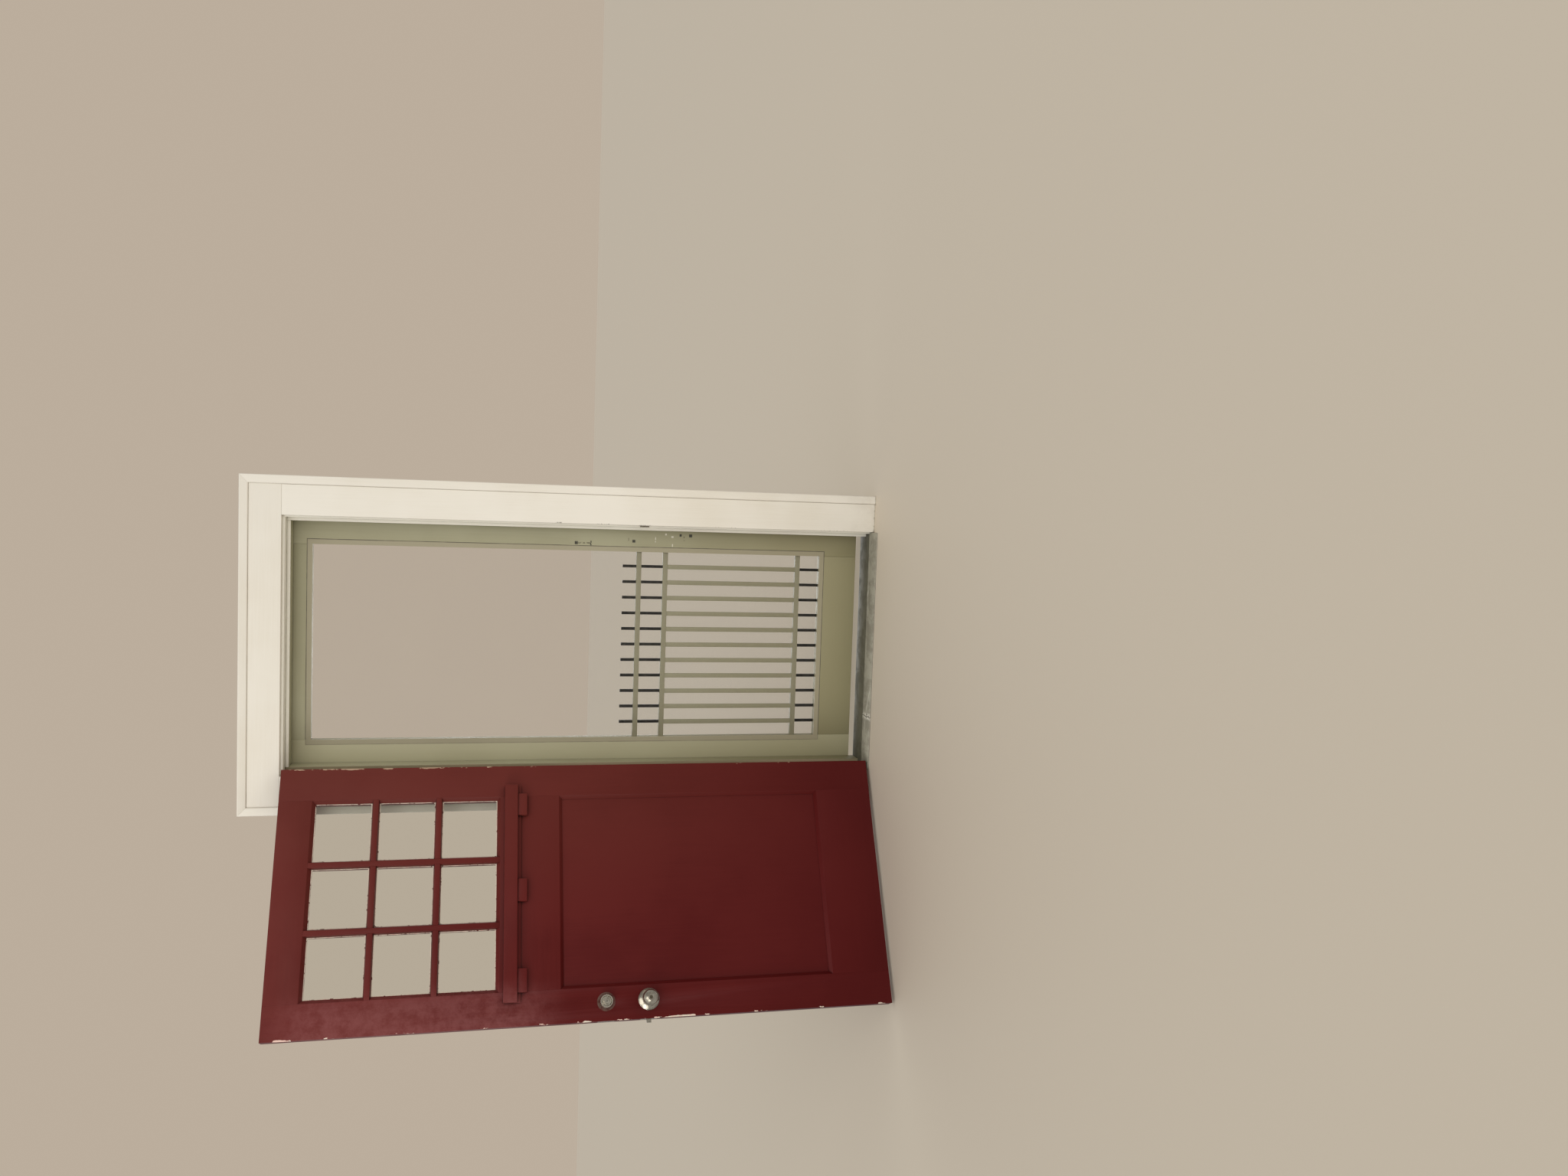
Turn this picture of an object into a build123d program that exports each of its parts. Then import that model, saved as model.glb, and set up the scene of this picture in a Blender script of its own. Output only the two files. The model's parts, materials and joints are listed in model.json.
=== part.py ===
from build123d import *
import os

os.makedirs("parts", exist_ok=True)

# An entry door hung in its cased frame, with the wooden screen door of the same frame.
# Millimetres. X runs across the doorway, Y from the room to the outside, Z up.
# The origin is on the floor, midway between the jambs, in the plane of their room edges.
# The leaf is drawn shut and then swung open about its hinge pins, as it is stored.

# Doorway and jambs
opening_width = 864.0       # between the faces of the side jambs
opening_height = 2046.0     # floor to the underside of the head jamb
jamb_thickness = 20.0
jamb_depth = 146.0

# Sill under the doors and the worn strip in front of it
sill_height = 10.0
sill_end = 128.0            # Y of the sill's outer edge
sill_fall = 4.0             # the last stretch of the sill slopes down by this much
strip_front = -60.0         # Y of the strip's front edge
strip_back = 8.0            # Y where the strip meets the sill
strip_nose = 3.0            # height of the strip's front edge
strip_slope = 24.0          # length of its sloping front
strip_gap = 1.0             # to the casing on each side

# Casing round the doorway on the room side
casing_thickness = 20.0
casing_width = 103.0
casing_reveal = 6.0         # jamb edge left showing at the sides
head_reveal = 8.0           # and under the head
back_band_width = 29.0
back_band_thickness = 25.0
back_band_round = 4.0
casing_round = 2.0

# Entry leaf
leaf_thickness = 44.0
hang_gap = 3.0              # round the leaf and round the screen door
sill_gap = 3.0
leaf_open_angle = 152.0
stile_face = 107.0          # flat face of a stile, up to its moulded edge
top_rail_face = 104.0
lock_rail_face = 196.0
bottom_rail_face = 200.0
panel_height = 921.0        # clear of the rail faces, over the panel; the lights take the rest
sticking_width = 11.0       # moulded edge that slopes down to the panel and the glass
sticking_lip = 1.5
panel_thickness = 16.0
groove_depth = 10.0
panel_play = 1.0
tenon_thickness = 14.0
tenon_length = 60.0
tenon_shoulder = 20.0

# Nine lights
muntin_width = 24.0
muntin_flat = 17.0
muntin_lip = 3.0
muntin_tongue = 8.0
light_rows = 3
light_columns = 3
glass_thickness = 3.0
glass_play = 1.5
bead_setback = 4.0          # from the room face of the leaf

# Shelf under the lights
shelf_length = 713.0
shelf_drop = 13.0           # from the lock rail's upper edge to the shelf's top
shelf_height = 44.0
shelf_depth = 30.0
shelf_round = 2.5
bed_height = 11.0
bed_depth = 10.0
dentil_width = 75.0
dentil_height = 31.0
dentil_depth = 22.0
dentil_pitch = 289.0

# Door stops
stop_thickness = 12.0
stop_width = 68.0
stop_gap = 1.5

# Butt hinges: plate and barrel sizes of the entry door's and the screen door's
hinge_height = 102.0
hinge_plate = 2.5
hinge_reach = 36.0          # of a plate into the jamb edge
knuckle_radius = 6.5
pin_radius = 4.0
pin_projection = 10.0       # pin axis in front of the jamb edge
screen_hinge_height = 76.0
screen_hinge_plate = 1.8
screen_hinge_reach = 24.0
screen_knuckle_radius = 4.5
screen_pin_radius = 2.5
screen_pin_projection = 5.5
knuckle_count = 5
knuckle_gap = 0.3
running_clearance = 0.05
web_clearance = 0.6
pin_cap = 3.0
hinge_from_top = 178.0      # leaf edge to hinge middle
hinge_from_bottom = 280.0

# Lock set and deadbolt
backset = 60.3
latch_height = 835.0        # above the leaf's bottom edge
bolt_spacing = 139.7
latch_cross_bore = 27.0
deadbolt_cross_bore = 19.0
edge_bore = 12.7
case_wall = 1.6
case_clearance = 0.1
case_reach = 50.0
faceplate_height = 57.0
faceplate_width = 25.4
faceplate_thickness = 2.4
latch_bolt_height = 15.0
latch_bolt_thickness = 12.0
latch_throw = 12.0
latch_tail = 40.0
deadbolt_height = 18.0
deadbolt_thickness = 12.0
deadbolt_throw = 25.0
deadbolt_length = 45.0
bolt_clearance = 0.4

# Knobs and roses
rose_radius = 34.5
rose_height = 15.0
shank_radius = 10.0
knob_radius = 26.5
knob_reach = 60.0
spindle_size = 8.0
key_plug_radius = 6.0
key_plug_depth = 14.0
keyway_height = 8.0
keyway_width = 1.8
keyway_depth = 6.0
lock_button_radius = 4.0
lock_button_stand = 4.0
collar_radius = 22.5
collar_reach = 20.0
turn_plate_radius = 29.0
turn_plate_height = 6.0
tailpiece_width = 6.0
tailpiece_thickness = 2.5
turn_length = 34.0
turn_width = 9.0
turn_height = 16.0

# Strike plates
strike_thickness = 1.6
latch_strike_height = 57.0
deadbolt_strike_height = 70.0
strike_width = 28.0
strike_lip_height = 32.0
strike_lip_curl = 3.0
pocket_clearance = 2.5
latch_pocket_depth = 15.0

# Screws
screw_head_radius = 4.2
screw_shank_radius = 2.2
screw_head_depth = 2.2
screw_length = 15.0
screw_slot_width = 0.9
screw_slot_depth = 1.0
screw_play = 0.05

# Screen door
screen_thickness = 28.0
screen_gap = 1.5
screen_bottom = 28.0        # its bottom edge above the floor
screen_stile = 89.5
screen_top_rail = 71.0
screen_bottom_rail = 142.0
screen_bead_width = 17.5
screen_bead_thickness = 7.5
cloth_thickness = 0.5
cloth_play = 2.0
bar_height = 18.0
bar_depth = 16.0
bar_setback = 1.0           # behind the screen cloth
lower_bar_rise = 73.0       # bottom rail to the lowest bar
panel_bar_rise = 482.0      # between the lowest and the middle bar
upper_bar_rise = 79.0       # between the middle and the top bar
rod_rise = 49.0             # free ends above the top bar
rod_size = 10.0
rod_count = 11
rod_pitch = 57.3
slat_width = 16.5
slat_thickness = 4.0

# Worked out from the sizes above
half_opening = opening_width / 2
leaf_edge = half_opening - hang_gap
leaf_bottom = sill_height + sill_gap
leaf_top = opening_height - hang_gap
leaf_height = leaf_top - leaf_bottom
sight_edge = leaf_edge - stile_face - sticking_width
panel_front = (leaf_thickness - panel_thickness) / 2
panel_back = panel_front + panel_thickness
pin_x = -(half_opening - hang_gap / 2)
pin_y = -pin_projection
stop_front = leaf_thickness + stop_gap
stop_back = stop_front + stop_width
screen_front = stop_back + screen_gap
screen_back = screen_front + screen_thickness
screen_pin_y = jamb_depth + screen_pin_projection
lower_light = leaf_bottom + bottom_rail_face + panel_height + lock_rail_face
latch_z = leaf_bottom + latch_height
deadbolt_z = latch_z + bolt_spacing
lock_x = leaf_edge - backset
bead_depth = panel_back - glass_thickness - bead_setback
rebate_width = (muntin_width - muntin_tongue) / 2


def slab(x0, x1, y0, y1, z0, z1):
    """A board between two corners."""
    centre = Pos((x0 + x1) / 2, (y0 + y1) / 2, (z0 + z1) / 2)
    return centre * Box(abs(x1 - x0), abs(y1 - y0), abs(z1 - z0))


def upright(points, z0, z1):
    """A plan outline carried up from z0 to z1."""
    face = make_face(Polyline(*points, close=True))
    return Pos(0, 0, z0) * extrude(face, z1 - z0, dir=(0, 0, 1))


def level(points, x0, x1):
    """An outline of depth and height carried across from x0 to x1."""
    face = Plane.YZ * make_face(Polyline(*points, close=True))
    return Pos(x0, 0, 0) * extrude(face, x1 - x0, dir=(1, 0, 0))


def turned(outline):
    """An outline of radius and height turned about Z."""
    return revolve(Plane.XZ * make_face(outline), Axis.Z)


def drilled(radius, x, z, y0, y1):
    """A round hole through the thickness of the leaf."""
    length = y1 - y0
    return Pos(x, (y0 + y1) / 2, z) * Rot(90, 0, 0) * Cylinder(radius, length)


def group(shapes):
    """Separate solids kept together in one node."""
    solids = []
    for shape in shapes:
        solids.extend(shape.solids())
    return Compound(solids)


def mirrored(shape):
    """The same piece on the other side of the doorway."""
    return mirror(shape, Plane.YZ)


# Frame: jambs, sill, stops and casing

def side_jamb():
    """The jamb on the hinge side, down to the floor."""
    return slab(-half_opening - jamb_thickness, -half_opening, 0, jamb_depth, 0, opening_height)


def head_jamb():
    """Head jamb, resting on both side jambs."""
    reach = half_opening + jamb_thickness
    top = opening_height + jamb_thickness
    return slab(-reach, reach, 0, jamb_depth, opening_height, top)


def sill():
    """Sill board between the jambs, with a falling outer edge."""
    outline = [(strip_back, 0), (sill_end, 0), (sill_end, sill_height - sill_fall),
               (stop_back, sill_height), (strip_back, sill_height)]
    return level(outline, -half_opening, half_opening)


def threshold_strip():
    """Worn strip in front of the sill, with a sloping nose, notched round the jambs."""
    outline = [(strip_front, 0), (strip_back, 0), (strip_back, sill_height),
               (strip_front + strip_slope, sill_height), (strip_front, strip_nose)]
    reach = half_opening + casing_reveal - strip_gap
    strip = level(outline, -reach, reach)
    notch = slab(half_opening, reach, 0, strip_back, 0, sill_height)
    return strip - notch - mirrored(notch)


def side_stop():
    """Stop on the hinge jamb, standing on the sill."""
    return slab(-half_opening, -half_opening + stop_thickness, stop_front, stop_back,
                sill_height, opening_height)


def head_stop():
    """Stop under the head jamb, between the side stops."""
    reach = half_opening - stop_thickness
    return slab(-reach, reach, stop_front, stop_back, opening_height - stop_thickness, opening_height)


def side_casing():
    """Flat casing board, its long front edges eased."""
    inner = half_opening + casing_reveal
    board = slab(-inner - casing_width, -inner, -casing_thickness, 0, 0, opening_height + head_reveal)
    fronts = board.edges().filter_by(Axis.Z).group_by(Axis.Y)[0]
    return fillet(fronts, casing_round)


def head_casing():
    """Head casing, lying across the tops of the side casings."""
    reach = half_opening + casing_reveal + casing_width
    base = opening_height + head_reveal
    board = slab(-reach, reach, -casing_thickness, 0, base, base + casing_width)
    fronts = board.edges().filter_by(Axis.X).group_by(Axis.Y)[0]
    return fillet(fronts, casing_round)


def back_bands():
    """Raised bands round the outside of the casing, mitred at the top corners."""
    inner = half_opening + casing_reveal + casing_width
    outer = inner + back_band_width
    base = opening_height + head_reveal + casing_width
    top = base + back_band_width
    side = slab(-outer, -inner, -back_band_thickness, 0, 0, top)
    side = fillet(side.edges().filter_by(Axis.Z).group_by(Axis.Y)[0], back_band_round)
    head = slab(-outer, outer, -back_band_thickness, 0, base, top)
    head = fillet(head.edges().filter_by(Axis.X).group_by(Axis.Y)[0], back_band_round)
    corner = Plane.XZ * make_face(Polyline((-outer, base), (-inner, base), (-outer, top), close=True))
    below = extrude(corner, 2 * back_band_thickness, both=True)
    above = slab(-outer, -inner, -back_band_thickness, 0, base, top) - below
    side -= above
    head -= below + mirrored(below)
    return side, head


# Hinges, drawn with the pin on Z at the origin and the plates towards +Y

def knuckle_zone(index, height):
    """Lower and upper end of one knuckle, the barrel being centred on the origin."""
    pitch = height / knuckle_count
    low = -height / 2 + index * pitch
    return low + knuckle_gap / 2, low + pitch - knuckle_gap / 2


def hinge_leaf(side, height, plate, reach, radius, bore, screw_rows):
    """One plate with its own knuckles; side is -1 for the jamb's and 1 for the door's."""
    inner = hang_gap / 2
    body = slab(side * inner, side * (inner + plate), 0, reach, -height / 2, height / 2)
    own = 0 if side < 0 else 1
    for index in range(knuckle_count):
        low, high = knuckle_zone(index, height)
        middle = Pos(0, 0, (low + high) / 2)
        if index % 2 == own:
            body += middle * Cylinder(radius, high - low)
        else:
            room = high - low + 2 * knuckle_gap
            body -= middle * Cylinder(radius + web_clearance, room)
    body -= Cylinder(bore, 2 * height)
    for place in hinge_screw_places(side, height, reach, radius, screw_rows):
        body -= place * screw_hole()
    return body


def hinge_screw_places(side, height, reach, radius, rows):
    """Where the screws enter a plate, staggered along its height."""
    places = []
    span = height - 4 * screw_head_radius
    for row in range(rows):
        z = -span / 2 + span * row / (rows - 1)
        stagger = 0.62 if row % 2 == 0 else 0.38
        y = radius + (reach - radius) * stagger
        places.append(Pos(side * hang_gap / 2, y, z) * Rot(0, -90 * side, 0))
    return places


def hinge_pin(height, radius, barrel):
    """Loose pin with a cap at its head."""
    pin = Cylinder(radius, height)
    cap = Pos(0, 0, height / 2 + pin_cap / 2) * Cylinder(barrel - 1, pin_cap)
    return pin + cap


def screw():
    """Countersunk screw with its head in the plane of the origin, pointing down."""
    head = turned(Polyline((0, 0), (screw_head_radius, 0), (screw_shank_radius, -screw_head_depth),
                           (screw_shank_radius, -screw_length), (0, -screw_length), close=True))
    slot = slab(-screw_head_radius, screw_head_radius, -screw_slot_width / 2, screw_slot_width / 2,
                -screw_slot_depth, 1)
    return head - slot


def screw_hole():
    """The space a screw takes, with its play."""
    wide = screw_head_radius + screw_play
    slim = screw_shank_radius + screw_play
    return turned(Polyline((0, 1), (wide, 1), (wide, 0), (slim, -screw_head_depth),
                           (slim, -screw_length - screw_play), (0, -screw_length - screw_play), close=True))


def entry_hinge_heights():
    """Middle heights of the three hinges of the entry leaf."""
    low = leaf_bottom + hinge_from_bottom
    high = leaf_top - hinge_from_top
    return [low, (low + high) / 2, high]


def screen_hinge_heights():
    """Middle heights of the three hinges of the screen door."""
    low = screen_bottom + hinge_from_bottom
    high = leaf_top - hinge_from_top
    return [low, (low + high) / 2, high]


entry_rows = 3
screen_rows = 2
entry_places = [Pos(pin_x, pin_y, z) for z in entry_hinge_heights()]
screen_places = [Pos(pin_x, screen_pin_y, z) * Rot(180, 0, 0) for z in screen_hinge_heights()]


def entry_hinge(side):
    """Jamb or door plates of the entry hinges."""
    bore = pin_radius + running_clearance
    reach = pin_projection + hinge_reach
    leaf = hinge_leaf(side, hinge_height, hinge_plate, reach, knuckle_radius, bore, entry_rows)
    return [place * leaf for place in entry_places]


def screen_hinge(side):
    """Jamb or door plates of the screen hinges; they reach back towards the room."""
    bore = screen_pin_radius + running_clearance
    reach = screen_pin_projection + screen_hinge_reach
    leaf = hinge_leaf(side, screen_hinge_height, screen_hinge_plate, reach, screen_knuckle_radius,
                      bore, screen_rows)
    return [place * leaf for place in screen_places]


def hinge_mortises(side):
    """Housings that the hinge plates lie in."""
    inner = hang_gap / 2
    entry = slab(side * inner, side * (inner + hinge_plate), 0, pin_projection + hinge_reach,
                 -hinge_height / 2, hinge_height / 2)
    screen = slab(side * inner, side * (inner + screen_hinge_plate), 0,
                  screen_pin_projection + screen_hinge_reach,
                  -screen_hinge_height / 2, screen_hinge_height / 2)
    return [place * entry for place in entry_places], [place * screen for place in screen_places]


def entry_screw_places(side):
    """Every screw of the entry hinges on one side."""
    reach = pin_projection + hinge_reach
    local = hinge_screw_places(side, hinge_height, reach, knuckle_radius, entry_rows)
    return [place * spot for place in entry_places for spot in local]


def screen_screw_places(side):
    """Every screw of the screen hinges on one side."""
    reach = screen_pin_projection + screen_hinge_reach
    local = hinge_screw_places(side, screen_hinge_height, reach, screen_knuckle_radius, screen_rows)
    return [place * spot for place in screen_places for spot in local]


# Strike plates on the far jamb

lock_y = leaf_thickness / 2


def strike_plate(z, height, bolt_height, bolt_thickness):
    """Flat plate let into the jamb face, with the hole that the bolt enters."""
    plate = slab(half_opening, half_opening + strike_thickness, lock_y - strike_width / 2,
                 lock_y + strike_width / 2, z - height / 2, z + height / 2)
    hole = slab(half_opening - 1, half_opening + strike_thickness + 1,
                lock_y - bolt_thickness / 2 - pocket_clearance, lock_y + bolt_thickness / 2 + pocket_clearance,
                z - bolt_height / 2 - pocket_clearance, z + bolt_height / 2 + pocket_clearance)
    for place in strike_screw_places(z, height):
        plate -= place * screw_hole()
    return plate - hole


def strike_screw_places(z, height):
    """Two screws, above and below the hole of a strike plate."""
    offset = height / 2 - 2 * screw_head_radius
    return [Pos(half_opening, lock_y, z + side * offset) * Rot(0, -90, 0) for side in (-1, 1)]


def strike_lip():
    """Lip that leads the latch in; it runs to the jamb's edge and curls over it."""
    back = lock_y - strike_width / 2
    low, high = latch_z - strike_lip_height / 2, latch_z + strike_lip_height / 2
    face = half_opening
    outline = [(face, back), (face, -strike_lip_curl / 3), (face + strike_lip_curl, -strike_lip_curl),
               (face + strike_lip_curl + strike_thickness, -strike_lip_curl + strike_thickness / 2),
               (face + strike_thickness, 0), (face + strike_thickness, back)]
    return upright(outline, low, high)


def latch_strike():
    """Strike of the spring latch, with its lip."""
    plate = strike_plate(latch_z, latch_strike_height, latch_bolt_height, latch_bolt_thickness)
    return plate + strike_lip()


def deadbolt_strike():
    """Strike of the deadbolt."""
    return strike_plate(deadbolt_z, deadbolt_strike_height, deadbolt_height, deadbolt_thickness)


def strike_housings():
    """What the strikes and the bolts need cut out of the jamb."""
    housings = []
    for z, height in ((latch_z, latch_strike_height), (deadbolt_z, deadbolt_strike_height)):
        housings.append(slab(half_opening, half_opening + strike_thickness, lock_y - strike_width / 2,
                             lock_y + strike_width / 2, z - height / 2, z + height / 2))
    housings.append(strike_lip())
    pockets = ((latch_z, latch_bolt_height, latch_bolt_thickness, latch_pocket_depth),
               (deadbolt_z, deadbolt_height, deadbolt_thickness, jamb_thickness))
    for z, height, thickness, depth in pockets:
        housings.append(slab(half_opening, half_opening + depth,
                             lock_y - thickness / 2 - pocket_clearance,
                             lock_y + thickness / 2 + pocket_clearance,
                             z - height / 2 - pocket_clearance, z + height / 2 + pocket_clearance))
    return housings


def strike_screws():
    """Where the four strike screws go."""
    return (strike_screw_places(latch_z, latch_strike_height)
            + strike_screw_places(deadbolt_z, deadbolt_strike_height))


def cut(shape, tools):
    """A piece with a list of other shapes taken out of it."""
    for tool in tools:
        shape = shape - tool
    return shape


def hinge_jamb():
    """Side jamb with its hinge housings and screw holes."""
    entry, screen = hinge_mortises(-1)
    holes = [place * screw_hole() for place in entry_screw_places(-1) + screen_screw_places(-1)]
    return cut(side_jamb(), entry + screen + holes)


def strike_jamb():
    """Side jamb with the strikes' housings and the bolts' pockets."""
    holes = [place * screw_hole() for place in strike_screws()]
    return cut(mirrored(side_jamb()), strike_housings() + holes)


# Entry leaf: stiles, rails, panel and lights, drawn shut

def panel_edge(face, tip, floor):
    """Points of an edge that is moulded on both faces and grooved for the panel.

    face is where the flat face ends, tip is the end of the moulding and floor the groove's floor."""
    return [(0, face), (panel_front - sticking_lip, tip), (panel_front, tip), (panel_front, floor),
            (panel_back, floor), (panel_back, tip), (panel_back + sticking_lip, tip),
            (leaf_thickness, face)]


def light_edge(face, tip, wall):
    """Points of an edge that is moulded outside and rebated inside for the glass."""
    return [(0, wall), (panel_back, wall), (panel_back, tip), (panel_back + sticking_lip, tip),
            (leaf_thickness, face)]


def stile_blank():
    """Hinge stile: grooved beside the panel, rebated beside the lights."""
    face = -leaf_edge + stile_face
    tip = face + sticking_width
    change = lower_light - lock_rail_face / 2
    grooved = panel_edge(face, tip, tip - groove_depth)
    rebated = light_edge(face, tip, tip - rebate_width)
    back = [(-leaf_edge, leaf_thickness), (-leaf_edge, 0)]
    lower = upright([(x, y) for y, x in grooved] + back, leaf_bottom, change)
    upper = upright([(x, y) for y, x in rebated] + back, change, leaf_top)
    return lower + upper


def tenon(low, high):
    """Tenons at both ends of a rail."""
    reach = leaf_edge - stile_face + tenon_length
    middle = leaf_thickness / 2
    return slab(-reach, reach, middle - tenon_thickness / 2, middle + tenon_thickness / 2,
                low + tenon_shoulder, high - tenon_shoulder)


def rail_lines():
    """Lower and upper face line of each rail."""
    return {"bottom_rail": (leaf_bottom, leaf_bottom + bottom_rail_face),
            "lock_rail": (lower_light - lock_rail_face, lower_light),
            "top_rail": (leaf_top - top_rail_face, leaf_top)}


def rail_outlines():
    """Section of each rail, as depth and height."""
    lines = rail_lines()
    low, high = lines["bottom_rail"]
    tip = high + sticking_width
    bottom = [(0, low)] + panel_edge(high, tip, tip - groove_depth) + [(leaf_thickness, low)]
    low, high = lines["lock_rail"]
    under, over = low - sticking_width, high + sticking_width
    lock = panel_edge(low, under, under + groove_depth)
    lock += list(reversed(light_edge(high, over, over - rebate_width)))
    low, high = lines["top_rail"]
    tip = low - sticking_width
    top = light_edge(low, tip, tip + rebate_width) + [(leaf_thickness, high), (0, high)]
    return {"bottom_rail": bottom, "lock_rail": lock, "top_rail": top}


def stiles_and_rails():
    """Stiles with their mortises, and rails scribed over the stiles' moulding."""
    tenons = {name: tenon(low, high) for name, (low, high) in rail_lines().items()}
    hinge_stile = cut(stile_blank(), tenons.values())
    latch_stile = mirrored(hinge_stile)
    reach = leaf_edge - stile_face
    rails = {}
    for name, outline in rail_outlines().items():
        rails[name] = level(outline, -reach, reach) + tenons[name] - hinge_stile - latch_stile
    return hinge_stile, latch_stile, rails


def door_panel():
    """Flat panel, loose in its grooves."""
    side = sight_edge + groove_depth - panel_play
    low = rail_lines()["bottom_rail"][1] + sticking_width - groove_depth + panel_play
    high = rail_lines()["lock_rail"][0] - sticking_width + groove_depth - panel_play
    return slab(-side, side, panel_front, panel_back, low, high)


def light_grid():
    """Centre lines of the muntins and the clear size of one light."""
    low = lower_light + sticking_width
    high = leaf_top - top_rail_face - sticking_width
    width = (2 * sight_edge - (light_columns - 1) * muntin_width) / light_columns
    height = (high - low - (light_rows - 1) * muntin_width) / light_rows
    across = [-sight_edge + (i + 1) * (width + muntin_width) - muntin_width / 2
              for i in range(light_columns - 1)]
    up = [low + (i + 1) * (height + muntin_width) - muntin_width / 2 for i in range(light_rows - 1)]
    return across, up, width, height


def muntin_section():
    """Half of a muntin's section, as offset from its centre line and depth."""
    return [(muntin_tongue / 2, bead_setback), (muntin_tongue / 2, panel_back),
            (muntin_width / 2, panel_back), (muntin_width / 2, panel_back + muntin_lip),
            (muntin_flat / 2, leaf_thickness)]


def muntins(rails, stiles):
    """Upright bars between the rails, and cross bars scribed between them."""
    across, up, _, _ = light_grid()
    half = muntin_section()
    whole = half + [(-x, y) for x, y in reversed(half)]
    low, high = lower_light, leaf_top - top_rail_face
    uprights = []
    for x in across:
        bar = upright([(x + dx, y) for dx, y in whole], low, high)
        uprights.append(bar - rails["lock_rail"] - rails["top_rail"])
    reach = leaf_edge - stile_face
    crossbars = []
    for z in up:
        bar = level([(y, z + dz) for dz, y in whole], -reach, reach)
        crossbars.append(cut(bar, list(stiles) + uprights))
    return uprights, crossbars


def light_boxes():
    """Clear opening of every light: left, right, bottom and top."""
    across, up, width, height = light_grid()
    lights = []
    for row in range(light_rows):
        low = lower_light + sticking_width + row * (height + muntin_width)
        for column in range(light_columns):
            left = -sight_edge + column * (width + muntin_width)
            lights.append((left, left + width, low, low + height))
    return lights


def glass_panes():
    """One pane for each light, bedded in its rebate."""
    grow = rebate_width - glass_play
    return [slab(left - grow, right + grow, panel_back - glass_thickness, panel_back, low - grow, high + grow)
            for left, right, low, high in light_boxes()]


def glazing_beads():
    """Four mitred beads round every light, holding the glass from the room side."""
    beads = []
    for left, right, low, high in light_boxes():
        inner = [(left, low), (right, low), (right, high), (left, high)]
        grow = rebate_width
        outer = [(left - grow, low - grow), (right + grow, low - grow),
                 (right + grow, high + grow), (left - grow, high + grow)]
        for i in range(4):
            j = (i + 1) % 4
            face = Plane.XZ * make_face(Polyline(inner[i], inner[j], outer[j], outer[i], close=True))
            beads.append(Pos(0, bead_setback, 0) * extrude(face, bead_depth, dir=(0, 1, 0)))
    return beads


def door_shelf():
    """Shelf with its bed moulding, in one section."""
    top = lower_light - shelf_drop
    under = top - shelf_height
    front = leaf_thickness + shelf_depth
    outline = [(leaf_thickness, under - bed_height), (leaf_thickness + bed_depth, under - bed_height),
               (leaf_thickness + bed_depth, under), (front, under), (front, top), (leaf_thickness, top)]
    shelf = level(outline, -shelf_length / 2, shelf_length / 2)
    return fillet(shelf.edges().filter_by(Axis.X).group_by(Axis.Y)[-1], shelf_round)


def dentils(shelf):
    """Three blocks under the shelf, notched over its bed moulding."""
    top = lower_light - shelf_drop - shelf_height
    blocks = []
    for place in (-1, 0, 1):
        x = place * dentil_pitch
        block = slab(x - dentil_width / 2, x + dentil_width / 2, leaf_thickness,
                     leaf_thickness + dentil_depth, top - dentil_height, top)
        blocks.append(block - shelf)
    return blocks


# Lock set, drawn round its own axis and then set in the leaf

def on_outside(z):
    """Place of something whose axis points out of the leaf's outer face."""
    return Pos(lock_x, leaf_thickness, z) * Rot(-90, 0, 0)


def on_inside(z):
    """Place of something whose axis points into the room."""
    return Pos(lock_x, 0, z) * Rot(90, 0, 0)


def rose():
    """Dished rose round the knob's shank."""
    bore = shank_radius + running_clearance
    brim = rose_radius * 0.96
    outline = Polyline((bore, 0), (rose_radius, 0), (rose_radius, 2))
    outline += RadiusArc((rose_radius, 2), (brim, 3.5), 2)
    outline += RadiusArc((brim, 3.5), (shank_radius + 4, rose_height), -46)
    outline += Polyline((shank_radius + 4, rose_height), (bore, rose_height), (bore, 0))
    return turned(outline)


def knob(hole_radius, hole_depth):
    """Turned knob with its shank, a square hole for the spindle and a hole in its face."""
    neck = rose_height + 4
    shoulder = knob_reach - 16
    rim = knob_reach - 6
    outline = Polyline((0, -leaf_thickness / 4), (shank_radius, -leaf_thickness / 4), (shank_radius, neck))
    outline += RadiusArc((shank_radius, neck), (knob_radius, shoulder), -24)
    outline += RadiusArc((knob_radius, shoulder), (knob_radius - 4, rim), 14)
    outline += RadiusArc((knob_radius - 4, rim), (hole_radius + 4, knob_reach), 40)
    outline += Polyline((hole_radius + 4, knob_reach), (0, knob_reach), (0, -leaf_thickness / 4))
    body = turned(outline)
    square = slab(-spindle_size / 2, spindle_size / 2, -spindle_size / 2, spindle_size / 2,
                  -leaf_thickness, neck)
    hole = Pos(0, 0, knob_reach - hole_depth / 2) * Cylinder(hole_radius, hole_depth)
    return body - square - hole


def spindle():
    """Square spindle between the two knobs."""
    neck = rose_height + 4
    half = spindle_size / 2
    return slab(lock_x - half, lock_x + half, -neck, leaf_thickness + neck, latch_z - half, latch_z + half)


def key_plug(radius, depth):
    """Lock plug with its keyway."""
    plug = Pos(0, 0, -depth / 2) * Cylinder(radius, depth)
    way = slab(-keyway_width / 2, keyway_width / 2, -keyway_height / 2, keyway_height / 2,
               -keyway_depth, 1)
    return plug - way


def lock_button():
    """Turn button in the face of the inner knob."""
    length = key_plug_depth + lock_button_stand
    button = Pos(0, 0, length / 2 - key_plug_depth) * Cylinder(lock_button_radius, length)
    ridge = slab(-lock_button_radius, lock_button_radius, -1, 1, lock_button_stand - 1, lock_button_stand + 1)
    return button - ridge


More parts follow.
